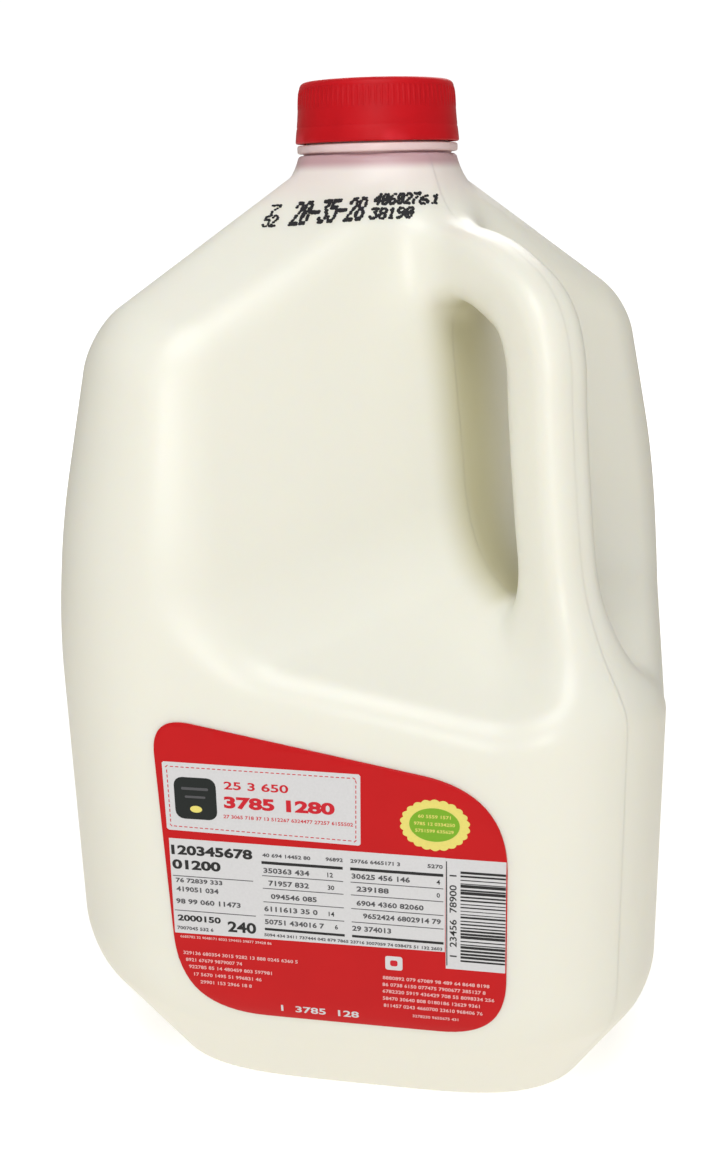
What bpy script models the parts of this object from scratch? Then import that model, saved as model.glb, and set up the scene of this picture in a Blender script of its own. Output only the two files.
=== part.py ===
"""Plastic milk jug, one US gallon, with a snap cap and a sticker label.

Metres, +Z up, origin at the centre of the base. The jug's square body stands with its
corners on the X and Y axes: the handle is the +X corner, and Y = 0 is its mirror plane.
The label is on the face that looks towards +X and -Y.
"""
import math

import bmesh
import bpy
import numpy as np

MM = 0.001

# body walls
HALF_WIDTH = 76.3 * MM          # flat to flat is twice this
CORNER_RADIUS = 33.0 * MM       # upright corners, lower body
CORNER_RADIUS_TOP = 29.0 * MM   # the same corners below the shoulder
CORNER_RISE = 70.0 * MM         # height over which the one becomes the other
LEAN_HEIGHT = 138.0 * MM        # the walls lean in above this height
LEAN_SLOPE = 0.185              # inward move per unit of height
LEAN_SOFT = 26.0 * MM           # half the height of the soft bend

# shoulder: a square pyramid with round corners
SHOULDER_ANGLE = math.radians(52.0)   # its normal above the horizontal
SHOULDER_HEIGHT = 191.8 * MM
SHOULDER_REACH = 70.2 * MM            # half width of the pyramid at that height
SHOULDER_SQUARENESS = 9.5
SHOULDER_ROUND = 6.0 * MM

# foot: sloping chamfer above the base
FOOT_ANGLE = math.radians(28.5)
FOOT_REACH = 59.0 * MM
FOOT_SQUARENESS = 4.1
FOOT_SHIFT = 3.0 * MM
FOOT_ROUND = 3.5 * MM
BASE_ROUND = 2.5 * MM
DIMPLE_RADIUS = 194.0 * MM      # push-up in the middle of the base
DIMPLE_DEPTH = 3.0 * MM

# grip pockets, one on each side of the handle
PANEL_OFFSET = 68.0 * MM        # distance from the mirror axis at the panel's start
PANEL_START = -24.0 * MM
PANEL_SLOPE = 0.72
NOSE_REACH = 40.0 * MM          # wall behind the finger gap
NOSE_LEAN = 0.7
NOSE_ROUND = 8.0 * MM
LEDGE_HEIGHT = 121.0 * MM
LEDGE_START = -20.0 * MM
LEDGE_SIDE_SLOPE = -0.2
LEDGE_DEPTH_SLOPE = -0.58
LEDGE_ROUND = 13.0 * MM
LEDGE_TURN_UP = 6.0 * MM
LEDGE_TURN_START = 34.0 * MM
LEDGE_TURN_LENGTH = 20.0 * MM
POCKET_EDGE_ROUND = 5.0 * MM
WEDGE_SOFT = 2.0 * MM

# handle: heights and distances of its centre line from the neck down to the root
HANDLE_LINE_MM = [
    (26.0, 212.0),
    (42.0, 210.0),
    (52.0, 206.2),
    (60.2, 200.4),
    (64.4, 190.6),
    (65.5, 178.0),
    (67.4, 160.0),
    (69.6, 144.0),
    (71.8, 133.5),
    (74.2, 124.0),
    (76.0, 112.0),
    (75.5, 95.0),
]
HANDLE_STEPS = 4                # pieces of curve between two of these points
HANDLE_DEPTH = 6.9 * MM         # half size across the gap
HANDLE_WIDTH = 6.5 * MM         # half size along Y
HANDLE_SQUARENESS = 3.0
HANDLE_ROOT_INSET = 3.0 * MM
HANDLE_ROOT_ROUND = 16.0 * MM
HANDLE_ROUND = 9.0 * MM

# neck and cap
NECK_RADIUS = 19.9 * MM
NECK_TOP = 236.4 * MM
NECK_BOTTOM = 200.0 * MM
NECK_ROUND = 6.0 * MM
NECK_EDGE_ROUND = 0.6 * MM
COLLAR_RADIUS = 20.5 * MM
COLLAR_BOTTOM = 236.9 * MM
COLLAR_TOP = 238.9 * MM
COLLAR_EDGE = 0.5 * MM
STUB_RADIUS = 18.9 * MM
STUB_BOTTOM = 226.0 * MM
FINISH_RADIUS = 18.1 * MM
FINISH_TOP = 251.6 * MM
FINISH_EDGE = 0.6 * MM
CAP_BOTTOM = 239.3 * MM
CAP_TOP = 253.9 * MM
CAP_RADIUS_BOTTOM = 20.9 * MM
CAP_RADIUS_TOP = 19.7 * MM
CAP_EDGE = 1.6 * MM
CAP_WALL = 1.7 * MM
CAP_EDGE_STEPS = 4
CAP_RIM_HEIGHT = 0.5 * MM       # small slope at the cap's lower rim
CAP_RIM_INSET = 0.3 * MM
CAP_INNER_SPREAD = 0.4 * MM     # extra inner radius under the top
ROUND_STEPS = 72

# label: outline on the face, along it and up it
LABEL_LEFT = -44.0 * MM
LABEL_RIGHT = 40.4 * MM
LABEL_BOTTOM = 30.6 * MM
LABEL_TOP_LEFT = 111.0 * MM
LABEL_TOP_RIGHT = 95.8 * MM     # the top edge slopes down from left to right
LABEL_LEFT_LEAN = 2.6 * MM      # the left edge leans in towards the bottom
LABEL_REACH_MM = (10.0, 20.0, 16.0, 22.0)   # rounding from top left, clockwise
LABEL_GAP = 0.3 * MM
LABEL_THICKNESS = 0.4 * MM
LABEL_GRID = 4.0 * MM
LABEL_CORNER_STEPS = 8
LABEL_START_OUT = 5.0 * MM      # distance from which the film is drawn to the wall
LABEL_PASSES = 12

# rough first body, before it is settled onto the walls
ROUGH_SIDES = 4
ROUGH_DIAGONAL = math.sqrt(2.0)
ROUGH_NECK_OUT = 4.0 * MM
ROUGH_NECK_DROP = 8.0 * MM
ROUGH_SHOULDER = 1.3            # corner reach over half width, with the corners rounded
ROUGH_WALL = 0.93
ROUGH_FOOT = 0.9
ROUGH_FOOT_TOP = 30.0 * MM

# block that clears the grip pockets
CUTTER_LEAD = 10.0 * MM         # how far before the panel's start it begins
CUTTER_OUT = 1.0 * MM
CUTTER_LENGTH = 1.7             # as shares of the half width
CUTTER_SPREAD = 1.4
CUTTER_FLOOR_LIFT = 4.0 * MM
CUTTER_TOP_DROP = 14.0 * MM
CUTTER_TOP_START = 40.0 * MM
CUTTER_TOP_SLOPE = 0.5

# mesh fineness
VOXEL = 2.2 * MM
JUG_TRIANGLES = 9600
REMESH_ROUNDS = 2
SETTLE_PASSES = 24
SETTLE_LAST = 6                 # the last passes leave the vertices' spacing alone
SETTLE_AFTER_THINNING = 8
SETTLE_REACH = 3.0 * MM         # longest move in one pass
EVENING = 0.4
LEAST_STEEP = 0.2
PROBE = 0.05 * MM
SNAP = 0.05 * MM
MERGE_DISTANCE = 0.00001
ROOT_HALF = math.sqrt(0.5)

# colours, with the roughness of each surface
JUG_COLOR = (0.86, 0.85, 0.77)
JUG_ROUGHNESS = 0.38
CAP_COLOR = (0.52, 0.012, 0.022)
CAP_ROUGHNESS = 0.42
LABEL_COLOR = (0.62, 0.015, 0.022)
LABEL_ROUGHNESS = 0.3


def start_empty():
    for item in list(bpy.data.objects):
        bpy.data.objects.remove(item, do_unlink=True)


def collection(name):
    group = bpy.data.collections.new(name)
    bpy.context.scene.collection.children.link(group)
    return group


def plastic(name, color, roughness):
    material = bpy.data.materials.new(name)
    material.use_nodes = True
    shader = material.node_tree.nodes["Principled BSDF"]
    shader.inputs["Base Color"].default_value = (*color, 1.0)
    shader.inputs["Roughness"].default_value = roughness
    return material


def mesh_object(name, vertices, faces, group):
    mesh = bpy.data.meshes.new(name)
    mesh.from_pydata(vertices, [], faces)
    mesh.validate()
    item = bpy.data.objects.new(name, mesh)
    group.objects.link(item)
    return item


def bake_modifiers(item):
    """Makes the result of an object's modifiers its own mesh."""
    graph = bpy.context.evaluated_depsgraph_get()
    graph.update()
    result = bpy.data.meshes.new_from_object(item.evaluated_get(graph), depsgraph=graph)
    item.modifiers.clear()
    item.data = result


def hide_guide(item):
    item.hide_render = True
    item.display_type = "WIRE"


# smooth unions and intersections of walls, each given as a signed distance

def meet(a, b, radius):
    """Inside both walls, with a rounded edge."""
    over_a = np.maximum(a + radius, 0.0)
    over_b = np.maximum(b + radius, 0.0)
    return np.minimum(np.maximum(a, b), -radius) + np.hypot(over_a, over_b)


def join(a, b, radius):
    """Inside either wall, with a filled corner."""
    return -meet(-a, -b, radius)


def ease(t):
    t = np.clip(t, 0.0, 1.0)
    return t * t * (3.0 - 2.0 * t)


def super_norm(a, b, power):
    return (np.abs(a) ** power + np.abs(b) ** power + 1e-30) ** (1.0 / power)


def wall_lean(z):
    """How far the upright walls have moved in at a height."""
    above = z - LEAN_HEIGHT
    soft = np.clip(above + LEAN_SOFT, 0.0, 2.0 * LEAN_SOFT)
    straight = np.maximum(above - LEAN_SOFT, 0.0)
    return LEAN_SLOPE * (soft * soft / (4.0 * LEAN_SOFT) + straight)


def body_walls(x, y, z):
    """Upright walls, shoulder, foot and base, with no pockets."""
    u = (x + y) * ROOT_HALF
    v = (x - y) * ROOT_HALF
    half = HALF_WIDTH - wall_lean(z)
    change = np.clip((z - LEAN_HEIGHT) / CORNER_RISE, 0.0, 1.0)
    radius = CORNER_RADIUS + (CORNER_RADIUS_TOP - CORNER_RADIUS) * change
    past_u = np.abs(u) - (half - radius)
    past_v = np.abs(v) - (half - radius)
    corner = np.hypot(np.maximum(past_u, 0.0), np.maximum(past_v, 0.0))
    wall = corner + np.minimum(np.maximum(past_u, past_v), 0.0) - radius
    reach = super_norm(u, v, SHOULDER_SQUARENESS)
    shoulder = ((z - SHOULDER_HEIGHT) * math.sin(SHOULDER_ANGLE)
                + (reach - SHOULDER_REACH) * math.cos(SHOULDER_ANGLE))
    body = meet(wall, shoulder, SHOULDER_ROUND)
    shift = FOOT_SHIFT * ROOT_HALF
    reach = super_norm(u - shift, v - shift, FOOT_SQUARENESS)
    foot = -z * math.sin(FOOT_ANGLE) + (reach - FOOT_REACH) * math.cos(FOOT_ANGLE)
    body = meet(body, foot, FOOT_ROUND)
    body = meet(body, -z, BASE_ROUND)
    drop = z + DIMPLE_RADIUS - DIMPLE_DEPTH
    dimple = DIMPLE_RADIUS - np.sqrt(x * x + y * y + drop * drop)
    return meet(body, dimple, BASE_ROUND)


def handle_line():
    """The handle's centre line as a smooth curve through its stated points."""
    knots = np.array(HANDLE_LINE_MM) * MM
    knots = np.vstack([2.0 * knots[0] - knots[1], knots, 2.0 * knots[-1] - knots[-2]])
    line = []
    for i in range(1, len(knots) - 2):
        before, start, end, after = knots[i - 1:i + 3]
        for step in range(HANDLE_STEPS):
            t = step / HANDLE_STEPS
            line.append(0.5 * (2.0 * start + (end - before) * t
                               + (2.0 * before - 5.0 * start + 4.0 * end - after) * t * t
                               + (3.0 * start - before - 3.0 * end + after) * t ** 3))
    line.append(knots[-2])
    return np.array(line)


HANDLE_LINE = handle_line()


def handle_bar(x, y, z):
    """The handle's bar along its centre line."""
    line = HANDLE_LINE
    nearest = np.full(np.shape(x), 1.0)
    for start, end in zip(line[:-1], line[1:]):
        run = end - start
        along = ((x - start[0]) * run[0] + (z - start[1]) * run[1]) / (run @ run)
        along = np.clip(along, 0.0, 1.0)
        away = np.hypot(x - start[0] - along * run[0], z - start[1] - along * run[1])
        nearest = np.minimum(nearest, away)
    size = super_norm(nearest / HANDLE_DEPTH, y / HANDLE_WIDTH, HANDLE_SQUARENESS)
    return (size - 1.0) * HANDLE_WIDTH


def pocket_keep(x, y, z):
    """What the grip pockets leave: behind the panel, or below the ledge."""
    side = np.sqrt(y * y + WEDGE_SOFT * WEDGE_SOFT)
    u = (x - side) * ROOT_HALF
    v = (x + side) * ROOT_HALF
    lean = wall_lean(z)
    panel = v + lean - PANEL_OFFSET + PANEL_SLOPE * (u - PANEL_START)
    panel = panel / math.hypot(1.0, PANEL_SLOPE)
    nose = x - NOSE_REACH + NOSE_LEAN * lean
    behind = meet(panel, nose, NOSE_ROUND)
    turn = LEDGE_TURN_UP * ease((u - LEDGE_TURN_START) / LEDGE_TURN_LENGTH)
    level = (LEDGE_HEIGHT + turn + LEDGE_SIDE_SLOPE * (u - LEDGE_START)
             + LEDGE_DEPTH_SLOPE * (v - HALF_WIDTH))
    tilt = math.sqrt(1.0 + LEDGE_SIDE_SLOPE ** 2 + LEDGE_DEPTH_SLOPE ** 2)
    return join(behind, (z - level) / tilt, LEDGE_ROUND)


def jug_wall(points):
    """Signed distance to the jug's skin below the collar, negative inside."""
    x, y, z = points[:, 0], points[:, 1], points[:, 2]
    bar = handle_bar(x, y, z)
    keep = join(pocket_keep(x, y, z), bar + HANDLE_ROOT_INSET, HANDLE_ROOT_ROUND)
    jug = meet(body_walls(x, y, z), keep, POCKET_EDGE_ROUND)
    jug = join(jug, bar, HANDLE_ROUND)
    neck = np.maximum(np.hypot(x, y) - NECK_RADIUS, NECK_BOTTOM - z)
    jug = join(jug, neck, NECK_ROUND)
    return meet(jug, z - NECK_TOP, NECK_EDGE_ROUND)


def wall_slope(points):
    slope = np.empty_like(points)
    for axis in range(3):
        step = np.zeros(3)
        step[axis] = PROBE
        slope[:, axis] = jug_wall(points + step) - jug_wall(points - step)
    return slope / (2.0 * PROBE)


def settle(mesh, passes, smoothing):
    """Moves a mesh's vertices onto the jug's skin, evening them out along the way."""
    count = len(mesh.vertices)
    flat = np.empty(count * 3)
    mesh.vertices.foreach_get("co", flat)
    points = flat.reshape(count, 3)
    edges = np.empty(len(mesh.edges) * 2, dtype=np.int64)
    mesh.edges.foreach_get("vertices", edges)
    edges = edges.reshape(-1, 2)
    ends = np.concatenate([edges[:, 0], edges[:, 1]])
    others = np.concatenate([edges[:, 1], edges[:, 0]])
    valence = np.maximum(np.bincount(ends, minlength=count), 1)
    for turn in range(passes):
        distance = jug_wall(points)
        slope = wall_slope(points)
        steep = np.maximum(np.sum(slope * slope, axis=1), LEAST_STEEP)
        step = np.clip(distance / steep, -SETTLE_REACH, SETTLE_REACH)
        points = points - slope * step[:, None]
        if smoothing > 0.0 and turn < passes - SETTLE_LAST:
            middle = np.empty_like(points)
            for axis in range(3):
                total = np.bincount(ends, weights=points[others, axis], minlength=count)
                middle[:, axis] = total / valence
            points = points + smoothing * (middle - points)
    points[np.abs(points[:, 2]) < SNAP, 2] = 0.0
    mesh.vertices.foreach_set("co", points.ravel())
    mesh.update()


def turned(name, profile, group):
    """A solid of revolution from a profile of (radius, height)."""
    vertices = [(radius, 0.0, height) for radius, height in profile]
    mesh = bpy.data.meshes.new(name)
    mesh.from_pydata(vertices, [(i, i + 1) for i in range(len(vertices) - 1)], [])
    item = bpy.data.objects.new(name, mesh)
    group.objects.link(item)
    screw = item.modifiers.new("turn", "SCREW")
    screw.axis = "Z"
    screw.steps = ROUND_STEPS
    screw.render_steps = ROUND_STEPS
    screw.use_merge_vertices = True
    screw.merge_threshold = MERGE_DISTANCE
    screw.use_smooth_shade = False
    bake_modifiers(item)
    return item


def face_point(u, v, z):
    """A point from its place along the label's face, out of it and up."""
    return ((u + v) * ROOT_HALF, (u - v) * ROOT_HALF, z)


def rough_body(group):
    """A square pillar with a pyramid shoulder, turned in four steps."""
    reach = HALF_WIDTH * ROUGH_DIAGONAL * ROUGH_WALL
    profile = [
        (0.0, NECK_TOP),
        (NECK_RADIUS, NECK_TOP),
        (NECK_RADIUS + ROUGH_NECK_OUT, NECK_TOP - ROUGH_NECK_DROP),
        (SHOULDER_REACH * ROUGH_SHOULDER, SHOULDER_HEIGHT),
        (reach, LEAN_HEIGHT - LEAN_SOFT),
        (reach, ROUGH_FOOT_TOP),
        (FOOT_REACH * ROUGH_DIAGONAL * ROUGH_FOOT, 0.0),
        (0.0, 0.0),
    ]
    mesh = bpy.data.meshes.new("body_rough")
    mesh.from_pydata([(r, 0.0, z) for r, z in profile],
                     [(i, i + 1) for i in range(len(profile) - 1)], [])
    item = bpy.data.objects.new("body_rough", mesh)
    group.objects.link(item)
    screw = item.modifiers.new("turn", "SCREW")
    screw.axis = "Z"
    screw.steps = ROUGH_SIDES
    screw.render_steps = ROUGH_SIDES
    screw.use_merge_vertices = True
    screw.merge_threshold = MERGE_DISTANCE
    bake_modifiers(item)
    return item


def pocket_cutter(group):
    """One block that clears both grip pockets, down to the ledges."""
    edge = face_point(PANEL_START - CUTTER_LEAD, HALF_WIDTH + CUTTER_OUT, 0.0)
    plan = [
        (NOSE_REACH, 0.0),
        (edge[0], edge[1]),
        (CUTTER_LENGTH * HALF_WIDTH, -CUTTER_SPREAD * HALF_WIDTH),
        (CUTTER_LENGTH * HALF_WIDTH, CUTTER_SPREAD * HALF_WIDTH),
        (edge[0], -edge[1]),
    ]
    vertices = []
    for x, y in plan:
        u = (x - abs(y)) * ROOT_HALF
        v = (x + abs(y)) * ROOT_HALF
        floor = (LEDGE_HEIGHT + CUTTER_FLOOR_LIFT + LEDGE_SIDE_SLOPE * (u - LEDGE_START)
                 + LEDGE_DEPTH_SLOPE * (v - HALF_WIDTH))
        vertices.append((x, y, floor))
    for x, y in plan:
        roof = NECK_TOP - CUTTER_TOP_DROP + (CUTTER_TOP_START - x) * CUTTER_TOP_SLOPE
        vertices.append((x, y, roof))
    count = len(plan)
    faces = [tuple(range(count)), tuple(range(2 * count - 1, count - 1, -1))]
    for i in range(count):
        j = (i + 1) % count
        faces.append((j, i, i + count, j + count))
    cutter = mesh_object("pocket_cutter", vertices, faces, group)
    work = bmesh.new()
    work.from_mesh(cutter.data)
    bmesh.ops.triangulate(work, faces=work.faces)
    bmesh.ops.recalc_face_normals(work, faces=work.faces)
    work.to_mesh(cutter.data)
    work.free()
    hide_guide(cutter)
    return cutter


def handle_guide(group):
    """A round bar along the handle's centre line."""
    curve = bpy.data.curves.new("handle_bar", "CURVE")
    curve.dimensions = "3D"
    curve.bevel_depth = HANDLE_WIDTH
    curve.bevel_resolution = 4
    curve.use_fill_caps = True
    spline = curve.splines.new("POLY")
    spline.points.add(len(HANDLE_LINE) - 1)
    for point, (x, z) in zip(spline.points, HANDLE_LINE):
        point.co = (x, 0.0, z, 1.0)
    item = bpy.data.objects.new("handle_line", curve)
    group.objects.link(item)
    graph = bpy.context.evaluated_depsgraph_get()
    graph.update()
    mesh = bpy.data.meshes.new_from_object(item.evaluated_get(graph), depsgraph=graph)
    bpy.data.objects.remove(item, do_unlink=True)
    bar = bpy.data.objects.new("handle_bar", mesh)
    group.objects.link(bar)
    hide_guide(bar)
    return bar


def boolean(item, other, operation, name):
    modifier = item.modifiers.new(name, "BOOLEAN")
    modifier.object = other
    modifier.operation = operation
    modifier.solver = "EXACT"
    bake_modifiers(item)


def thin_out(item, triangles):
    """Fewer triangles, kept where the skin bends."""
    item.data.calc_loop_triangles()
    modifier = item.modifiers.new("thin", "DECIMATE")
    modifier.ratio = min(1.0, triangles / len(item.data.loop_triangles))
    modifier.use_collapse_triangulate = True
    bake_modifiers(item)


def add_jug(group, guides):
    jug = rough_body(group)
    jug.name = "jug"
    boolean(jug, pocket_cutter(guides), "DIFFERENCE", "pockets")
    boolean(jug, handle_guide(guides), "UNION", "handle")
    for _ in range(REMESH_ROUNDS):
        remesh = jug.modifiers.new("even", "REMESH")
        remesh.mode = "VOXEL"
        remesh.voxel_size = VOXEL
        bake_modifiers(jug)
        settle(jug.data, SETTLE_PASSES, EVENING)
    thin_out(jug, JUG_TRIANGLES)
    settle(jug.data, SETTLE_AFTER_THINNING, 0.0)
    finish = turned("neck_finish", [
        (0.0, FINISH_TOP),
        (FINISH_RADIUS - FINISH_EDGE, FINISH_TOP),
        (FINISH_RADIUS, FINISH_TOP - FINISH_EDGE),
        (FINISH_RADIUS, COLLAR_TOP),
        (COLLAR_RADIUS - COLLAR_EDGE, COLLAR_TOP),
        (COLLAR_RADIUS, COLLAR_TOP - COLLAR_EDGE),
        (COLLAR_RADIUS, COLLAR_BOTTOM + COLLAR_EDGE),
        (COLLAR_RADIUS - COLLAR_EDGE, COLLAR_BOTTOM),
        (STUB_RADIUS, COLLAR_BOTTOM),
        (STUB_RADIUS, STUB_BOTTOM),
        (0.0, STUB_BOTTOM),
    ], guides)
    hide_guide(finish)
    boolean(jug, finish, "UNION", "neck")
    jug.data.materials.clear()
    jug.data.materials.append(plastic("jug", JUG_COLOR, JUG_ROUGHNESS))
    return jug


def add_cap(group):
    inner_top = CAP_RADIUS_TOP - CAP_WALL + CAP_INNER_SPREAD
    inner_bottom = CAP_RADIUS_BOTTOM - CAP_WALL
    profile = [(0.0, CAP_TOP)]
    for step in range(CAP_EDGE_STEPS + 1):
        angle = math.pi / 2.0 * step / CAP_EDGE_STEPS
        profile.append((CAP_RADIUS_TOP - CAP_EDGE + CAP_EDGE * math.sin(angle),
                        CAP_TOP - CAP_EDGE + CAP_EDGE * math.cos(angle)))
    profile += [
        (CAP_RADIUS_BOTTOM, CAP_BOTTOM + CAP_RIM_HEIGHT),
        (CAP_RADIUS_BOTTOM - CAP_RIM_INSET, CAP_BOTTOM),
        (inner_bottom, CAP_BOTTOM),
        (inner_top, CAP_TOP - CAP_WALL),
        (0.0, CAP_TOP - CAP_WALL),
    ]
    cap = turned("cap", profile, group)
    cap.data.materials.append(plastic("cap", CAP_COLOR, CAP_ROUGHNESS))
    return cap


def label_outline():
    """Rounded four-cornered outline whose top edge falls to the right, as (u, z)."""
    corners = [
        (LABEL_LEFT, LABEL_TOP_LEFT),
        (LABEL_RIGHT, LABEL_TOP_RIGHT),
        (LABEL_RIGHT, LABEL_BOTTOM),
        (LABEL_LEFT + LABEL_LEFT_LEAN, LABEL_BOTTOM),
    ]
    outline = []
    for index, corner in enumerate(corners):
        before = np.array(corners[index - 1])
        after = np.array(corners[(index + 1) % 4])
        here = np.array(corner)
        reach = LABEL_REACH_MM[index] * MM
        start = here + (before - here) / np.linalg.norm(before - here) * reach
        end = here + (after - here) / np.linalg.norm(after - here) * reach
        for step in range(LABEL_CORNER_STEPS + 1):
            t = step / LABEL_CORNER_STEPS
            point = (1 - t) ** 2 * start + 2 * t * (1 - t) * here + t * t * end
            outline.append((float(point[0]), float(point[1])))
    return outline


def add_label(group):
    work = bmesh.new()
    ring = [work.verts.new((u, z, 0.0)) for u, z in label_outline()]
    work.faces.new(ring)
    spans = [((1, 0, 0), LABEL_LEFT, LABEL_RIGHT), ((0, 1, 0), LABEL_BOTTOM, LABEL_TOP_LEFT)]
    for across, low, high in spans:
        for i in range(1, int((high - low) / LABEL_GRID)):
            place = [(low + i * LABEL_GRID) * part for part in across]
            geometry = work.verts[:] + work.edges[:] + work.faces[:]
            bmesh.ops.bisect_plane(work, geom=geometry, plane_co=place, plane_no=across)
    bmesh.ops.triangulate(work, faces=work.faces)
    for vertex in work.verts:
        u, z = vertex.co.x, vertex.co.y
        out = HALF_WIDTH + LABEL_START_OUT
        for _ in range(LABEL_PASSES):
            point = np.array([face_point(u, out, z)])
            out -= float(jug_wall(point)[0]) - LABEL_GAP
        vertex.co = face_point(u, out, z)
    bmesh.ops.recalc_face_normals(work, faces=work.faces)
    outward = face_point(0.0, 1.0, 0.0)
    first = next(iter(work.faces))
    if first.normal.x * outward[0] + first.normal.y * outward[1] < 0.0:
        bmesh.ops.reverse_faces(work, faces=work.faces)
    mesh = bpy.data.meshes.new("label")
    work.to_mesh(mesh)
    work.free()
    label = bpy.data.objects.new("label", mesh)
    group.objects.link(label)
    solid = label.modifiers.new("thickness", "SOLIDIFY")
    solid.thickness = LABEL_THICKNESS
    solid.offset = 1.0
    bake_modifiers(label)
    label.data.materials.append(plastic("label", LABEL_COLOR, LABEL_ROUGHNESS))
    return label


def main():
    start_empty()
    parts = collection("plastic_milk_jug")
    guides = collection("guides")
    add_jug(parts, guides)
    add_cap(parts)
    add_label(parts)


main()
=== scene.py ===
"""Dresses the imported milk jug: skin, neck, mould seam, cap, printed label, date marks and stage.

Metres, +Z up. The jug's corners stand on the X and Y axes and the handle is the +X corner.
Places on the label's face are (u, z): along the face, and up.
"""

import math

import bmesh
import bpy
import numpy as np
from bpy.props import FloatProperty, FloatVectorProperty, IntProperty, PointerProperty
from mathutils import Matrix, Vector


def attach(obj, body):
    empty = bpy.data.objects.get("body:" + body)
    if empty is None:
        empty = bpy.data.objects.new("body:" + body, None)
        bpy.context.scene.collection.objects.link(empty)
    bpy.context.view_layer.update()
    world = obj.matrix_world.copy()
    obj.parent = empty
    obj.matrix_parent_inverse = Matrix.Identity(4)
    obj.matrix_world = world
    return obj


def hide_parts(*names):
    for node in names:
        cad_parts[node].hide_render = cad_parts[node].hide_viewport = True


bl_info = {
    "name": "Plastic milk jug",
    "version": (1, 0, 0),
    "blender": (4, 5, 0),
    "location": "3D View > Sidebar > Milk jug",
    "description": "Gives a packed milk jug its skin, cap, label, print and stage",
    "category": "Add Mesh",
}

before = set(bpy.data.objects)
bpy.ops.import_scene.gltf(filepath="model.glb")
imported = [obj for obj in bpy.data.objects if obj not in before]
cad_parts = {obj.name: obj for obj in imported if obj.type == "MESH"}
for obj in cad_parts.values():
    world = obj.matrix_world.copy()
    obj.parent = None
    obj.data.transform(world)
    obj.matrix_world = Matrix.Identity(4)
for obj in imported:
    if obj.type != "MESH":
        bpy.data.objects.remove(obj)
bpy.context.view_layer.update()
MM = 0.001
ROOT_HALF = math.sqrt(0.5)

# the jug's skin, as the CAD source states it
HALF_WIDTH = 76.3 * MM
CORNER_RADIUS = 33.0 * MM
CORNER_RADIUS_TOP = 29.0 * MM
CORNER_RISE = 70.0 * MM
LEAN_HEIGHT = 138.0 * MM
LEAN_SLOPE = 0.185
LEAN_SOFT = 26.0 * MM
SHOULDER_ANGLE = math.radians(52.0)
SHOULDER_HEIGHT = 191.8 * MM
SHOULDER_REACH = 70.2 * MM
SHOULDER_SQUARENESS = 9.5
SHOULDER_ROUND = 6.0 * MM
FOOT_ANGLE = math.radians(28.5)
FOOT_REACH = 59.0 * MM
FOOT_SQUARENESS = 4.1
FOOT_SHIFT = 3.0 * MM
FOOT_ROUND = 3.5 * MM
BASE_ROUND = 2.5 * MM
DIMPLE_RADIUS = 194.0 * MM
DIMPLE_DEPTH = 3.0 * MM
PANEL_OFFSET = 68.0 * MM
PANEL_START = -24.0 * MM
PANEL_SLOPE = 0.72
NOSE_REACH = 40.0 * MM
NOSE_LEAN = 0.7
NOSE_ROUND = 8.0 * MM
LEDGE_HEIGHT = 121.0 * MM
LEDGE_START = -20.0 * MM
LEDGE_SIDE_SLOPE = -0.2
LEDGE_DEPTH_SLOPE = -0.58
LEDGE_ROUND = 13.0 * MM
LEDGE_TURN_UP = 6.0 * MM
LEDGE_TURN_START = 34.0 * MM
LEDGE_TURN_LENGTH = 20.0 * MM
POCKET_EDGE_ROUND = 5.0 * MM
WEDGE_SOFT = 2.0 * MM
HANDLE_LINE_MM = [
    (26.0, 212.0), (42.0, 210.0), (52.0, 206.2), (60.2, 200.4), (64.4, 190.6), (65.5, 178.0),
    (67.4, 160.0), (69.6, 144.0), (71.8, 133.5), (74.2, 124.0), (76.0, 112.0), (75.5, 95.0),
]
HANDLE_STEPS = 4
HANDLE_DEPTH = 6.9 * MM
HANDLE_WIDTH = 6.5 * MM
HANDLE_SQUARENESS = 3.0
HANDLE_ROOT_INSET = 3.0 * MM
HANDLE_ROOT_ROUND = 16.0 * MM
HANDLE_ROUND = 9.0 * MM
NECK_RADIUS = 19.9 * MM
NECK_TOP = 236.4 * MM
NECK_BOTTOM = 200.0 * MM
NECK_ROUND = 6.0 * MM
NECK_EDGE_ROUND = 0.6 * MM

# neck finish and cap
COLLAR_RADIUS = 20.5 * MM
COLLAR_BOTTOM = 236.9 * MM
COLLAR_TOP = 238.9 * MM
COLLAR_EDGE = 0.5 * MM
STUB_RADIUS = 18.9 * MM
STUB_BOTTOM = 226.0 * MM
FINISH_RADIUS = 18.1 * MM
FINISH_TOP = 251.6 * MM
CAP_BOTTOM = 239.3 * MM
CAP_TOP = 253.9 * MM
CAP_RADIUS_BOTTOM = 20.9 * MM
CAP_RADIUS_TOP = 19.7 * MM
CAP_EDGE = 1.6 * MM
CAP_WALL = 1.7 * MM
CAP_TOP_DISH = 0.15 * MM        # how far the cap's flat top lies below its rim
CAP_DISH_START = 4.0 * MM       # from the cap's edge in
CAP_DISH_END = 3.4 * MM
CAP_SIDE = (0.2505, 0.2475, 0.2450)
CAP_LOW = 0.2415
CAP_RIM_ROUND = 0.45 * MM
CAP_INNER_SPREAD = 0.4 * MM
BAND_TOP = 243.0 * MM
BAND_GROOVE = 0.03 * MM
RIB_HEIGHTS = (0.2522, 0.2514, 0.2502, 0.2490, 0.2478, 0.2468)
RIB_PROUD = (-0.6, 0.75, 1.0, 0.85, 0.45, -0.5)   # share of the rib's height at each of these
RIB_HALF_WIDTH = 0.42 * MM
RIB_ROOT = 0.5 * MM
RIB_FOOT = 0.05 * MM
FINISH_ROUND = 0.6 * MM
COLLAR_FILLET = 0.4 * MM
STUB_FILLET = 0.3 * MM
TURN_STEPS = 192
MERGE = 0.00001

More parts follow.
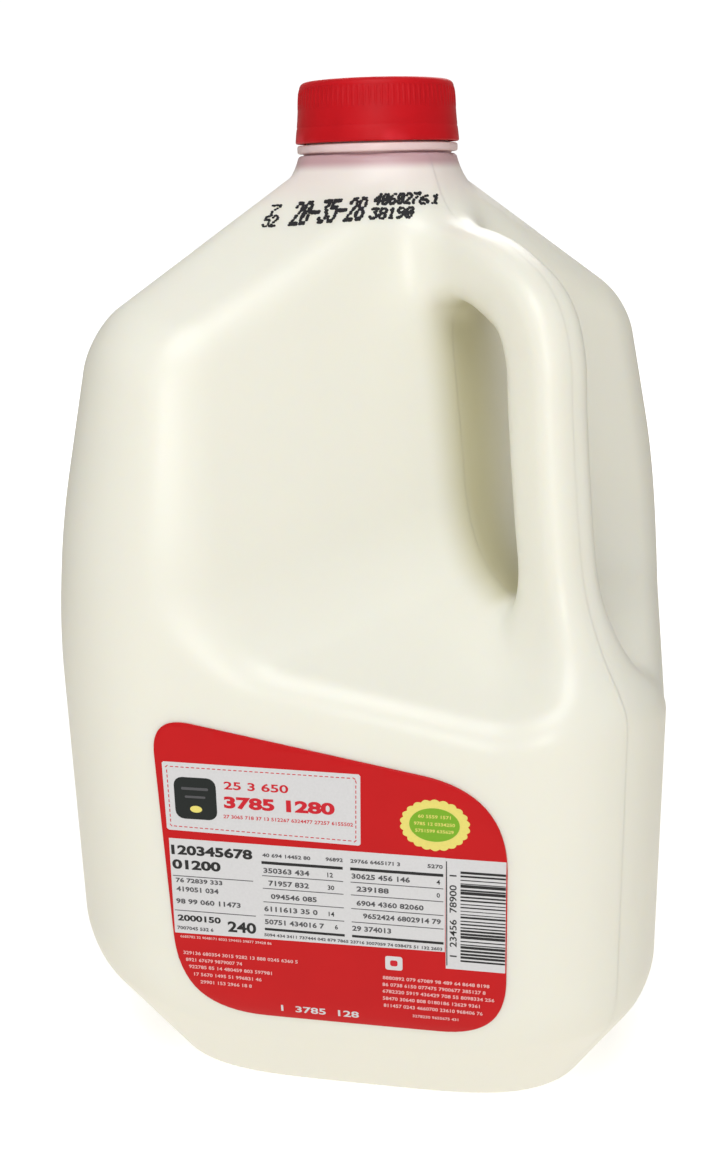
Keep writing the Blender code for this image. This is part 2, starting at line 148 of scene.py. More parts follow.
# how points are drawn onto the skin
PROBE = 0.05 * MM
LEAST_STEEP = 0.2
LONGEST_STEP = 3.0 * MM
EVENING = 0.5
SKIN_EVEN_PASSES = 10
SKIN_LAST_PASSES = 4
SKIN_CUT = 0.5 * MM             # how far below the neck's top the CAD jug is cut
FACE_START = 4.0 * MM
FACE_PASSES = 14
SEAM_PASSES = 4
SEAM_JOIN = 0.2 * MM

# label
LABEL_LEFT = -44.0 * MM
LABEL_RIGHT = 40.4 * MM
LABEL_BOTTOM = 30.6 * MM
LABEL_TOP_LEFT = 111.0 * MM
LABEL_TOP_RIGHT = 95.8 * MM
LABEL_LEFT_LEAN = 2.6 * MM
LABEL_REACH_MM = (10.0, 20.0, 16.0, 22.0)
LABEL_FACE = 0.5 * MM           # height of the film's face above the skin
LABEL_BACK = 0.05 * MM
LABEL_RIM = 0.25 * MM           # width and drop of the film's worn outer edge
INK = 0.03 * MM                 # thickness of one layer of ink
PRINT_GRID = 2.5 * MM
FINE_FIGURES = 1.6              # lower figures, in mm, are made of fewer points

# photograph's camera
CAMERA_PLACE = (0.283986, -0.202410, 0.230412)
CAMERA_RIGHT = (0.57001, 0.821321, -0.022824)
CAMERA_UP = (-0.229773, 0.186013, 0.955303)
CAMERA_LENS = 40.22


def meet(a, b, radius):
    """Inside both walls, with a rounded edge."""
    over_a = np.maximum(a + radius, 0.0)
    over_b = np.maximum(b + radius, 0.0)
    return np.minimum(np.maximum(a, b), -radius) + np.hypot(over_a, over_b)


def join(a, b, radius):
    """Inside either wall, with a filled corner."""
    return -meet(-a, -b, radius)


def ease(t):
    t = np.clip(t, 0.0, 1.0)
    return t * t * (3.0 - 2.0 * t)


def super_norm(a, b, power):
    return (np.abs(a) ** power + np.abs(b) ** power + 1e-30) ** (1.0 / power)


def wall_lean(z):
    """How far the upright walls have moved in at a height."""
    above = z - LEAN_HEIGHT
    soft = np.clip(above + LEAN_SOFT, 0.0, 2.0 * LEAN_SOFT)
    straight = np.maximum(above - LEAN_SOFT, 0.0)
    return LEAN_SLOPE * (soft * soft / (4.0 * LEAN_SOFT) + straight)


def body_walls(x, y, z):
    """Upright walls, shoulder, foot and base, with no pockets."""
    u = (x + y) * ROOT_HALF
    v = (x - y) * ROOT_HALF
    half = HALF_WIDTH - wall_lean(z)
    change = np.clip((z - LEAN_HEIGHT) / CORNER_RISE, 0.0, 1.0)
    radius = CORNER_RADIUS + (CORNER_RADIUS_TOP - CORNER_RADIUS) * change
    past_u = np.abs(u) - (half - radius)
    past_v = np.abs(v) - (half - radius)
    corner = np.hypot(np.maximum(past_u, 0.0), np.maximum(past_v, 0.0))
    wall = corner + np.minimum(np.maximum(past_u, past_v), 0.0) - radius
    reach = super_norm(u, v, SHOULDER_SQUARENESS)
    shoulder = ((z - SHOULDER_HEIGHT) * math.sin(SHOULDER_ANGLE)
                + (reach - SHOULDER_REACH) * math.cos(SHOULDER_ANGLE))
    body = meet(wall, shoulder, SHOULDER_ROUND)
    shift = FOOT_SHIFT * ROOT_HALF
    reach = super_norm(u - shift, v - shift, FOOT_SQUARENESS)
    foot = -z * math.sin(FOOT_ANGLE) + (reach - FOOT_REACH) * math.cos(FOOT_ANGLE)
    body = meet(body, foot, FOOT_ROUND)
    body = meet(body, -z, BASE_ROUND)
    drop = z + DIMPLE_RADIUS - DIMPLE_DEPTH
    dimple = DIMPLE_RADIUS - np.sqrt(x * x + y * y + drop * drop)
    return meet(body, dimple, BASE_ROUND)


def handle_line():
    """The handle's centre line as a smooth curve through its stated points."""
    knots = np.array(HANDLE_LINE_MM) * MM
    knots = np.vstack([2.0 * knots[0] - knots[1], knots, 2.0 * knots[-1] - knots[-2]])
    line = []
    for i in range(1, len(knots) - 2):
        before, start, end, after = knots[i - 1:i + 3]
        for step in range(HANDLE_STEPS):
            t = step / HANDLE_STEPS
            line.append(0.5 * (2.0 * start + (end - before) * t
                               + (2.0 * before - 5.0 * start + 4.0 * end - after) * t * t
                               + (3.0 * start - before - 3.0 * end + after) * t ** 3))
    line.append(knots[-2])
    return np.array(line)


HANDLE_LINE = handle_line()


def handle_bar(x, y, z):
    """The handle's bar along its centre line."""
    nearest = np.full(np.shape(x), 1.0)
    for start, end in zip(HANDLE_LINE[:-1], HANDLE_LINE[1:]):
        run = end - start
        along = ((x - start[0]) * run[0] + (z - start[1]) * run[1]) / (run @ run)
        along = np.clip(along, 0.0, 1.0)
        away = np.hypot(x - start[0] - along * run[0], z - start[1] - along * run[1])
        nearest = np.minimum(nearest, away)
    size = super_norm(nearest / HANDLE_DEPTH, y / HANDLE_WIDTH, HANDLE_SQUARENESS)
    return (size - 1.0) * HANDLE_WIDTH


def pocket_keep(x, y, z):
    """What the grip pockets leave: behind the panel, or below the ledge."""
    side = np.sqrt(y * y + WEDGE_SOFT * WEDGE_SOFT)
    u = (x - side) * ROOT_HALF
    v = (x + side) * ROOT_HALF
    lean = wall_lean(z)
    panel = v + lean - PANEL_OFFSET + PANEL_SLOPE * (u - PANEL_START)
    panel = panel / math.hypot(1.0, PANEL_SLOPE)
    nose = x - NOSE_REACH + NOSE_LEAN * lean
    behind = meet(panel, nose, NOSE_ROUND)
    turn = LEDGE_TURN_UP * ease((u - LEDGE_TURN_START) / LEDGE_TURN_LENGTH)
    level = (LEDGE_HEIGHT + turn + LEDGE_SIDE_SLOPE * (u - LEDGE_START)
             + LEDGE_DEPTH_SLOPE * (v - HALF_WIDTH))
    tilt = math.sqrt(1.0 + LEDGE_SIDE_SLOPE ** 2 + LEDGE_DEPTH_SLOPE ** 2)
    return join(behind, (z - level) / tilt, LEDGE_ROUND)


def jug_wall(points):
    """Signed distance to the jug's skin below the collar, negative inside."""
    x, y, z = points[:, 0], points[:, 1], points[:, 2]
    bar = handle_bar(x, y, z)
    keep = join(pocket_keep(x, y, z), bar + HANDLE_ROOT_INSET, HANDLE_ROOT_ROUND)
    jug = meet(body_walls(x, y, z), keep, POCKET_EDGE_ROUND)
    jug = join(jug, bar, HANDLE_ROUND)
    neck = np.maximum(np.hypot(x, y) - NECK_RADIUS, NECK_BOTTOM - z)
    jug = join(jug, neck, NECK_ROUND)
    return meet(jug, z - NECK_TOP, NECK_EDGE_ROUND)


def wall_slope(points):
    slope = np.empty_like(points)
    for axis in range(3):
        step = np.zeros(3)
        step[axis] = PROBE
        slope[:, axis] = jug_wall(points + step) - jug_wall(points - step)
    return slope / (2.0 * PROBE)


def pulled_to_skin(points):
    """One step of the points towards the jug's skin."""
    slope = wall_slope(points)
    steep = np.maximum(np.sum(slope * slope, axis=1), LEAST_STEEP)
    step = np.clip(jug_wall(points) / steep, -LONGEST_STEP, LONGEST_STEP)
    return points - slope * step[:, None]


def mesh_points(mesh):
    flat = np.empty(len(mesh.vertices) * 3)
    mesh.vertices.foreach_get("co", flat)
    return flat.reshape(-1, 3)


def set_points(mesh, points):
    mesh.vertices.foreach_set("co", np.ascontiguousarray(points).ravel())
    mesh.update()


def settle(mesh, even_passes, last_passes):
    """Moves a mesh's vertices onto the jug's skin, evening them out at first."""
    points = mesh_points(mesh)
    count = len(points)
    edges = np.empty(len(mesh.edges) * 2, dtype=np.int64)
    mesh.edges.foreach_get("vertices", edges)
    edges = edges.reshape(-1, 2)
    ends = np.concatenate([edges[:, 0], edges[:, 1]])
    others = np.concatenate([edges[:, 1], edges[:, 0]])
    valence = np.maximum(np.bincount(ends, minlength=count), 1)
    for turn in range(even_passes + last_passes):
        points = pulled_to_skin(points)
        if turn < even_passes:
            middle = np.empty_like(points)
            for axis in range(3):
                total = np.bincount(ends, weights=points[others, axis], minlength=count)
                middle[:, axis] = total / valence
            points = points + EVENING * (middle - points)
    points[:, 2] = np.maximum(points[:, 2], 0.0)
    set_points(mesh, points)


def face_point(u, v, z):
    """A point from its place along the label's face, out of it and up."""
    return ((u + v) * ROOT_HALF, (u - v) * ROOT_HALF, z)


def on_skin(u, z, lift):
    """Points on the label's face of the jug, lifted off its skin."""
    out = np.full(len(u), HALF_WIDTH + FACE_START)
    for _ in range(FACE_PASSES):
        points = np.column_stack(face_point(u, out, z))
        out = out - (jug_wall(points) - lift)
    return np.column_stack(face_point(u, out, z))


# objects, meshes and node trees

def linked(name, mesh):
    item = bpy.data.objects.new(name, mesh)
    bpy.context.scene.collection.objects.link(item)
    return item


def evaluated_mesh(item):
    graph = bpy.context.evaluated_depsgraph_get()
    graph.update()
    return bpy.data.meshes.new_from_object(item.evaluated_get(graph), depsgraph=graph)


def baked(item):
    """Makes the result of an object's modifiers its own mesh."""
    result = evaluated_mesh(item)
    item.modifiers.clear()
    item.data = result
    return item


def mesh_from_work(work, name):
    mesh = bpy.data.meshes.new(name)
    work.to_mesh(mesh)
    work.free()
    return mesh


def smooth(mesh, angle=None):
    mesh.shade_smooth()
    if angle is not None:
        mesh.set_sharp_from_angle(angle=math.radians(angle))


def finish_piece(item, nodes):
    """Says what a piece rides on and stands for."""
    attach(item, "root")
    if nodes:
        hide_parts(*nodes)


def add_node(tree, kind, inputs=None, **settings):
    item = tree.nodes.new(kind)
    for key, value in settings.items():
        setattr(item, key, value)
    for key, value in (inputs or {}).items():
        if isinstance(value, bpy.types.NodeSocket):
            tree.links.new(value, item.inputs[key])
        else:
            item.inputs[key].default_value = value
    return item


def math_node(tree, operation, first, second=0.0, third=0.0):
    return add_node(tree, "ShaderNodeMath", {0: first, 1: second, 2: third},
                    operation=operation).outputs[0]


def start_tree(name, sockets):
    """A geometry tree with a geometry input, named inputs, and a geometry output."""
    tree = bpy.data.node_groups.new(name, "GeometryNodeTree")
    tree.interface.new_socket("Geometry", in_out="INPUT", socket_type="NodeSocketGeometry")
    for label, kind in sockets:
        tree.interface.new_socket(label, in_out="INPUT", socket_type="NodeSocket" + kind)
    tree.interface.new_socket("Material", in_out="INPUT", socket_type="NodeSocketMaterial")
    tree.interface.new_socket("Geometry", in_out="OUTPUT", socket_type="NodeSocketGeometry")
    given = tree.nodes.new("NodeGroupInput")
    return tree, given.outputs


def end_tree(tree, given, geometry):
    real = add_node(tree, "GeometryNodeRealizeInstances", {"Geometry": geometry})
    paint = add_node(tree, "GeometryNodeSetMaterial",
                     {"Geometry": real.outputs[0], "Material": given["Material"]})
    add_node(tree, "NodeGroupOutput", {0: paint.outputs[0]})
    return tree


def grown(tree, base, values):
    """The plain mesh that a tree makes of a base mesh and its input values."""
    holder = linked("holder", base)
    modifier = holder.modifiers.new("grow", "NODES")
    modifier.node_group = tree
    for socket in tree.interface.items_tree:
        if socket.in_out == "INPUT" and socket.name in values:
            modifier[socket.identifier] = values[socket.name]
    mesh = evaluated_mesh(holder)
    holder.modifiers.clear()
    bpy.data.objects.remove(holder, do_unlink=True)
    return mesh


def unit_block(tree):
    """A block that stands on the print's ground line, one unit each way."""
    block = add_node(tree, "GeometryNodeMeshCube", {"Size": (1.0, 1.0, 1.0), "Vertices X": 12})
    return add_node(tree, "GeometryNodeTransform",
                    {"Geometry": block.outputs[0], "Translation": (0.0, 0.5, 0.5)}).outputs[0]


def random_number(tree, low, high, seed, shift):
    given = math_node(tree, "ADD", seed, shift)
    item = add_node(tree, "FunctionNodeRandomValue", data_type="FLOAT")
    item.inputs[2].default_value = low
    item.inputs[3].default_value = high
    tree.links.new(given, item.inputs["Seed"])
    return item.outputs[1]


def bars_tree():
    """A stack of level bars of uneven thickness, for the stripe code."""
    tree, given = start_tree("stripe_code", [
        ("Count", "Int"), ("Pitch", "Float"), ("Length", "Float"), ("Thickness", "Float"),
        ("Seed", "Int")])
    step = add_node(tree, "ShaderNodeCombineXYZ", {"Y": given["Pitch"]})
    line = add_node(tree, "GeometryNodeMeshLine",
                    {"Count": given["Count"], "Offset": step.outputs[0]})
    chance = random_number(tree, 0.0, 1.0, given["Seed"], 3.0)
    wide = math_node(tree, "POWER", chance, 1.6)
    height = math_node(tree, "MULTIPLY", math_node(tree, "ADD", wide, 0.28),
                       math_node(tree, "MULTIPLY", given["Pitch"], 0.72))
    scale = add_node(tree, "ShaderNodeCombineXYZ",
                     {"X": given["Length"], "Y": height, "Z": given["Thickness"]})
    put = add_node(tree, "GeometryNodeInstanceOnPoints",
                   {"Points": line.outputs[0], "Instance": unit_block(tree),
                    "Scale": scale.outputs[0]})
    return end_tree(tree, given, put.outputs[0])


def dashes_tree():
    """Short dashes along the edges of the base mesh."""
    tree, given = start_tree("dashes", [
        ("Pitch", "Float"), ("Length", "Float"), ("Width", "Float"), ("Thickness", "Float")])
    path = add_node(tree, "GeometryNodeMeshToCurve", {"Mesh": given["Geometry"]})
    even = add_node(tree, "GeometryNodeResampleCurve", {"Curve": path.outputs[0]})
    even.mode = "LENGTH"
    tree.links.new(given["Pitch"], even.inputs["Length"])
    block = add_node(tree, "GeometryNodeMeshCube", {"Size": (1.0, 1.0, 1.0)})
    raised = add_node(tree, "GeometryNodeTransform",
                      {"Geometry": block.outputs[0], "Translation": (0.0, 0.0, 0.5)})
    tangent = add_node(tree, "GeometryNodeInputTangent")
    turn = add_node(tree, "FunctionNodeAlignRotationToVector", {"Vector": tangent.outputs[0]},
                    axis="X")
    scale = add_node(tree, "ShaderNodeCombineXYZ",
                     {"X": given["Length"], "Y": given["Width"], "Z": given["Thickness"]})
    put = add_node(tree, "GeometryNodeInstanceOnPoints",
                   {"Points": even.outputs[0], "Instance": raised.outputs[0],
                    "Rotation": turn.outputs[0], "Scale": scale.outputs[0]})
    return end_tree(tree, given, put.outputs[0])


def dots_tree():
    """A flat round dot of ink at each point, turned to the point's facing."""
    tree, given = start_tree("ink_dots", [("Radius", "Float"), ("Depth", "Float"), ("Seed", "Int")])
    dot = add_node(tree, "GeometryNodeMeshCylinder",
                   {"Vertices": 10, "Radius": given["Radius"], "Depth": given["Depth"]})
    facing = add_node(tree, "GeometryNodeInputNamedAttribute", {"Name": "facing"},
                      data_type="FLOAT_VECTOR")
    turn = add_node(tree, "FunctionNodeAlignRotationToVector", {"Vector": facing.outputs[0]},
                    axis="Z")
    stated = add_node(tree, "GeometryNodeInputNamedAttribute", {"Name": "size"},
                      data_type="FLOAT").outputs[0]
    size = math_node(tree, "MULTIPLY", stated,
                     random_number(tree, 0.8, 1.2, given["Seed"], 0.0))
    put = add_node(tree, "GeometryNodeInstanceOnPoints",
                   {"Points": given["Geometry"], "Instance": dot.outputs["Mesh"],
                    "Rotation": turn.outputs[0], "Scale": size})
    return end_tree(tree, given, put.outputs[0])


def ring_tree():
    """Copies of the base mesh round the upright axis."""
    tree, given = start_tree("ring_of_ribs", [("Count", "Int")])
    points = add_node(tree, "GeometryNodePoints", {"Count": given["Count"]})
    index = add_node(tree, "GeometryNodeInputIndex")
    share = math_node(tree, "DIVIDE", index.outputs[0], given["Count"])
    angle = math_node(tree, "MULTIPLY", share, 2.0 * math.pi)
    turn = add_node(tree, "ShaderNodeCombineXYZ", {"Z": angle})
    put = add_node(tree, "GeometryNodeInstanceOnPoints",
                   {"Points": points.outputs[0], "Instance": given["Geometry"],
                    "Rotation": turn.outputs[0]})
    return end_tree(tree, given, put.outputs[0])


def seam_tree():
    """A thin round bead along the edges of the base mesh."""
    tree, given = start_tree("seam_bead", [("Radius", "Float")])
    path = add_node(tree, "GeometryNodeMeshToCurve", {"Mesh": given["Geometry"]})
    profile = add_node(tree, "GeometryNodeCurvePrimitiveCircle",
                       {"Resolution": 8, "Radius": given["Radius"]})
    bead = add_node(tree, "GeometryNodeCurveToMesh",
                    {"Curve": path.outputs[0], "Profile Curve": profile.outputs[0]})
    return end_tree(tree, given, bead.outputs[0])


def turned(name, profile):
    """A solid of revolution from a profile of (radius, height) that runs down its outer side."""
    mesh = bpy.data.meshes.new(name)
    mesh.from_pydata([(radius, 0.0, height) for radius, height in profile],
                     [(i, i + 1) for i in range(len(profile) - 1)], [])
    item = linked(name, mesh)
    screw = item.modifiers.new("turn", "SCREW")
    screw.axis = "Z"
    screw.steps = TURN_STEPS
    screw.render_steps = TURN_STEPS
    screw.use_merge_vertices = True
    screw.merge_threshold = MERGE
    baked(item)
    work = bmesh.new()
    work.from_mesh(item.data)
    bmesh.ops.remove_doubles(work, verts=work.verts, dist=MERGE)
    bmesh.ops.recalc_face_normals(work, faces=work.faces)
    work.to_mesh(item.data)
    work.free()
    return item


def rounded_edge(radius, height, size, start, end, steps=5):
    """Points round an edge: centre in from (radius, height), from one angle to another."""
    points = []
    for step in range(steps):
        angle = math.radians(start + (end - start) * step / (steps - 1))
        points.append((radius + size * math.sin(angle), height + size * math.cos(angle)))
    return points


# materials

def start_material(name, color, roughness, specular=0.5):
    material = bpy.data.materials.new(name)
    material.use_nodes = True
    tree = material.node_tree
    shader = tree.nodes["Principled BSDF"]
    shader.inputs["Base Color"].default_value = (*color, 1.0)
    shader.inputs["Roughness"].default_value = roughness
    shader.inputs["Specular IOR Level"].default_value = specular
    place = add_node(tree, "ShaderNodeTexCoord").outputs["Object"]
    return material, tree, shader, place


def noise(tree, place, scale, detail=3.0):
    item = add_node(tree, "ShaderNodeTexNoise",
                    {"Vector": place, "Scale": scale, "Detail": detail})
    return item.outputs["Fac"]


def spread(tree, value, low, high):
    """The value moved from 0 and 1 to low and high."""
    item = add_node(tree, "ShaderNodeMapRange", {"Value": value, "To Min": low, "To Max": high})
    return item.outputs[0]


def soft_step(tree, value, low, high):
    """0 below low, 1 above high, eased between."""
    item = add_node(tree, "ShaderNodeMapRange",
                    {"Value": value, "From Min": low, "From Max": high},
                    interpolation_type="SMOOTHSTEP")
    return item.outputs[0]


def mix_color(tree, share, first, second, blend="MIX"):
    item = add_node(tree, "ShaderNodeMix", data_type="RGBA", blend_type=blend)
    for socket, value in zip((item.inputs[0], item.inputs[6], item.inputs[7]),
                             (share, first, second)):
        if isinstance(value, bpy.types.NodeSocket):
            tree.links.new(value, socket)
        else:
            socket.default_value = value if isinstance(value, float) else (*value, 1.0)
    return item.outputs[2]


def mottled(tree, color, value):
    """The colour made a little lighter and darker by a number near one."""
    tone = add_node(tree, "ShaderNodeCombineColor", {"Red": value, "Green": value, "Blue": value})
    return mix_color(tree, 1.0, color, tone.outputs[0], "MULTIPLY")


def bump(tree, shader, height, distance, strength=1.0, under=None):
    item = add_node(tree, "ShaderNodeBump",
                    {"Height": height, "Distance": distance, "Strength": strength})
    if under is not None:
        tree.links.new(under, item.inputs["Normal"])
    tree.links.new(item.outputs[0], shader.inputs["Normal"])
    return item.outputs[0]


def milk_material(settings):
    """Milky, slightly see-through blown plastic with milk behind it, with painted shade in the
    finger gap and painted shade and reflection of the red cap at the neck.
    """
    milk = tuple(settings.milk_color)
    empty = tuple(settings.empty_color)
    material, tree, shader, place = start_material("milk_plastic", milk, 0.34, 0.45)
    parts = add_node(tree, "ShaderNodeSeparateXYZ", {0: place})
    wobble = spread(tree, noise(tree, place, 45.0, 2.0), -0.0012, 0.0012)
    height = math_node(tree, "ADD", parts.outputs["Z"], wobble)
    level = settings.milk_level
    above = soft_step(tree, height, level - 0.004, level + 0.006)
    color = mix_color(tree, above, milk, empty)
    color = mottled(tree, color, spread(tree, noise(tree, place, 16.0, 3.0), 0.975, 1.01))
    # painted shade under the collar, tinted pink by a painted reflection of the red cap
    under_collar_shade = soft_step(tree, parts.outputs["Z"], 0.2322, 0.2348)
    color = mix_color(tree, under_collar_shade, color, tuple(settings.neck_color))
    # painted reflection of the red cap on the collar
    collar = soft_step(tree, parts.outputs["Z"], 0.2364, 0.2370)
    color = mix_color(tree, collar, color, tuple(settings.collar_color))
    # painted shade: darker, yellower skin deep in the finger gap, reaching further to the +Y side
    gap = finger_gap_share(tree, parts)
    color = mix_color(tree, gap, color, tuple(settings.shade_color), "MULTIPLY")
    tree.links.new(color, shader.inputs["Base Color"])
    gloss = spread(tree, noise(tree, place, 60.0, 4.0), 0.29, 0.40)
    tree.links.new(gloss, shader.inputs["Roughness"])
    shader.inputs["Subsurface Weight"].default_value = 0.35
    shader.inputs["Subsurface Radius"].default_value = (1.0, 0.86, 0.6)
    shader.inputs["Subsurface Scale"].default_value = 0.006
    waves = bump(tree, shader, noise(tree, place, 38.0, 2.0), 0.00035, 0.5)
    bump(tree, shader, noise(tree, place, 900.0, 3.0), 0.00002, 0.6, waves)
    return material


def finger_gap_share(tree, parts):
    """Share of painted shade: 1 deep in the finger gap, 0 out on the skin."""
    x, y, z = parts.outputs["X"], parts.outputs["Y"], parts.outputs["Z"]
    share = soft_step(tree, y, -0.011, 0.003)
    for value, low, high in ((y, 0.023, 0.005), (x, 0.058, 0.052), (x, 0.024, 0.029),
                             (z, 0.1265, 0.1315), (z, 0.208, 0.200)):
        share = math_node(tree, "MULTIPLY", share, soft_step(tree, value, low, high))
    return share


def cap_material(settings):
    material, tree, shader, place = start_material("cap_plastic", tuple(settings.cap_color), 0.42,
                                                   0.12)
    parts = add_node(tree, "ShaderNodeSeparateXYZ", {0: place})
    color = mottled(tree, tuple(settings.cap_color),
                    spread(tree, noise(tree, place, 130.0, 3.0), 0.86, 1.1))
    # lighter red patches near the cap's lower rim
    rim = soft_step(tree, parts.outputs["Z"], 0.2425, 0.2400)
    patches = soft_step(tree, noise(tree, place, 75.0, 2.0), 0.5, 0.68)
    color = mix_color(tree, math_node(tree, "MULTIPLY", rim, patches), color,
                      tuple(settings.cap_scuff_color))
    tree.links.new(color, shader.inputs["Base Color"])
    tree.links.new(spread(tree, noise(tree, place, 240.0, 3.0), 0.36, 0.5),
                   shader.inputs["Roughness"])
    shader.inputs["Subsurface Weight"].default_value = 0.15
    shader.inputs["Subsurface Radius"].default_value = (1.0, 0.15, 0.12)
    shader.inputs["Subsurface Scale"].default_value = 0.002
    bump(tree, shader, noise(tree, place, 1400.0, 2.0), 0.00002, 0.7)
    return material


def ink_material(name, color, roughness=0.36):
    """Printing ink with a slight grain."""
    material, tree, shader, place = start_material(name, color, roughness, 0.15)
    grain = spread(tree, noise(tree, place, 1600.0, 2.0), 0.93, 1.04)
    tree.links.new(mottled(tree, color, grain), shader.inputs["Base Color"])
    tree.links.new(spread(tree, noise(tree, place, 300.0), roughness - 0.05, roughness + 0.08),
                   shader.inputs["Roughness"])
    return material


def film_material(settings):
    """Glossy printed film, a little wavy."""
    color = tuple(settings.film_color)
    material, tree, shader, place = start_material("label_film", color, 0.3, 0.15)
    cloud = spread(tree, noise(tree, place, 90.0, 3.0), 0.93, 1.05)
    tree.links.new(mottled(tree, color, cloud), shader.inputs["Base Color"])
    tree.links.new(spread(tree, noise(tree, place, 180.0), 0.26, 0.38),
                   shader.inputs["Roughness"])
    waves = bump(tree, shader, noise(tree, place, 110.0, 2.0), 0.0001, 0.35)
    bump(tree, shader, noise(tree, place, 2200.0, 2.0), 0.00001, 0.5, waves)
    return material


# settings

class JugSettings(bpy.types.PropertyGroup):
    voxel: FloatProperty(name="Skin fineness", description="Size of the skin's faces",
                         default=1.48 * MM, min=0.8 * MM, max=4.0 * MM, unit="LENGTH",
                         subtype="DISTANCE", precision=5)
    milk_color: FloatVectorProperty(name="Milk colour", description="Skin with milk behind it",
                                    subtype="COLOR", size=3, default=(0.875, 0.868, 0.79))
    empty_color: FloatVectorProperty(name="Empty colour", description="Skin above the milk",
                                     subtype="COLOR", size=3, default=(0.84, 0.77, 0.74))
    # painted shade and painted reflection of the red cap under the collar
    neck_color: FloatVectorProperty(name="Neck colour", description="Painted shade and red cap reflection under the collar",
                                    subtype="COLOR", size=3, default=(0.55, 0.35, 0.38))
    # painted reflection of the red cap on the collar
    collar_color: FloatVectorProperty(name="Collar colour", description="Painted reflection of the red cap on the collar",
                                      subtype="COLOR", size=3, default=(0.90, 0.66, 0.66))
    # painted shade in the finger gap
    shade_color: FloatVectorProperty(name="Gap colour", description="Painted shade inside the finger gap",
                                     subtype="COLOR", size=3, default=(0.64, 0.61, 0.44))
    milk_level: FloatProperty(name="Milk level", description="Height that the milk reaches",
                              default=226.0 * MM, unit="LENGTH", subtype="DISTANCE", precision=4)
    seam_radius: FloatProperty(name="Seam bead", description="Radius of the mould seam's bead",
                               default=0.7 * MM, unit="LENGTH", subtype="DISTANCE", precision=5)
    seam_rise: FloatProperty(name="Seam rise", description="How far the bead stands proud",
                             default=0.03 * MM, unit="LENGTH", subtype="DISTANCE", precision=5)


class CapSettings(bpy.types.PropertyGroup):
    cap_color: FloatVectorProperty(name="Cap colour", description="Colour of the cap",
                                   subtype="COLOR", size=3, default=(0.56, 0.008, 0.014))
    cap_scuff_color: FloatVectorProperty(name="Rim colour", description="Lighter patches on the lower rim",
                                         subtype="COLOR", size=3, default=(0.70, 0.03, 0.045))
    rib_count: IntProperty(name="Ribs", description="Number of grip ribs", default=90, min=12)
    rib_height: FloatProperty(name="Rib height", description="How far a rib stands out",
                              default=0.14 * MM, unit="LENGTH", subtype="DISTANCE", precision=5)


class LabelSettings(bpy.types.PropertyGroup):
    film_color: FloatVectorProperty(name="Film colour", description="Ground of the label",
                                    subtype="COLOR", size=3, default=(0.57, 0.009, 0.012))
    seed: IntProperty(name="Seed", description="Seed of the figures that stand for words",
                      default=7)
    stripe_count: IntProperty(name="Stripes", description="Bars in the stripe code",
                              default=27, min=3)


class DateSettings(bpy.types.PropertyGroup):
    dot_radius: FloatProperty(name="Dot radius", description="Radius of one dot of ink",
                              default=0.33 * MM, unit="LENGTH", subtype="DISTANCE", precision=5)
    slant: FloatProperty(name="Slant", description="Lean of the figures", default=0.22)


class StageSettings(bpy.types.PropertyGroup):
    floor_color: FloatVectorProperty(name="Floor colour", description="Colour of the floor",
                                     subtype="COLOR", size=3, default=(0.80, 0.80, 0.80))
    floor_glow: FloatProperty(name="Floor glow", description="Light that the floor gives off",
                              default=0.5)
    key_power: FloatProperty(name="Key light", description="Power of the main light",
                             default=5.8, unit="POWER")
    front_power: FloatProperty(name="Front light", description="Power of the light by the camera",
                               default=4.5, unit="POWER")
    back_power: FloatProperty(name="Back light", description="Power of the light behind the jug",
                              default=6.0, unit="POWER")
    sky_color: FloatVectorProperty(name="Sky colour", description="Colour of the light from above",
                                   subtype="COLOR", size=3, default=(1.0, 0.957, 0.86))
    sky_strength: FloatProperty(name="Sky", description="Strength of the light from above",
                                default=0.42)
    backdrop: FloatProperty(name="Backdrop", description="Brightness of the white backdrop",
                            default=1.05)
    bounce_strength: FloatProperty(
        name="Bounce strength", description="Extra light that comes up from the floor",
        default=0.72)


# the jug

def skin_start():
    """A closed copy of the CAD jug, cut off below its collar."""
    work = bmesh.new()
    work.from_mesh(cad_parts["jug"].data)
    bmesh.ops.remove_doubles(work, verts=work.verts, dist=MERGE)
    cut = (0.0, 0.0, NECK_TOP - SKIN_CUT)
    geometry = work.verts[:] + work.edges[:] + work.faces[:]
    bmesh.ops.bisect_plane(work, geom=geometry, plane_co=cut, plane_no=(0, 0, 1), clear_outer=True)
    bmesh.ops.holes_fill(work, edges=[edge for edge in work.edges if edge.is_boundary])
    bmesh.ops.triangulate(work, faces=work.faces)
    bmesh.ops.recalc_face_normals(work, faces=work.faces)
    return mesh_from_work(work, "jug_skin")


def mid_section(mesh):
    """The edges in which the mirror plane cuts the skin, as a mesh of closed loops."""
    work = bmesh.new()
    work.from_mesh(mesh)
    geometry = work.verts[:] + work.edges[:] + work.faces[:]
    cut = bmesh.ops.bisect_plane(work, geom=geometry, plane_co=(0, 0, 0), plane_no=(0, 1, 0))
    edges = [item for item in cut["geom_cut"] if isinstance(item, bmesh.types.BMEdge)]
    section = bmesh.new()
    copies = {}
    for edge in edges:
        for vertex in edge.verts:
            if vertex not in copies:
                copies[vertex] = section.verts.new((vertex.co.x, 0.0, vertex.co.z))
        ends = [copies[vertex] for vertex in edge.verts]
        if ends[0] is not ends[1]:
            section.edges.new(ends)
    work.free()
    bmesh.ops.remove_doubles(section, verts=section.verts, dist=SEAM_JOIN)
    return mesh_from_work(section, "seam_path")


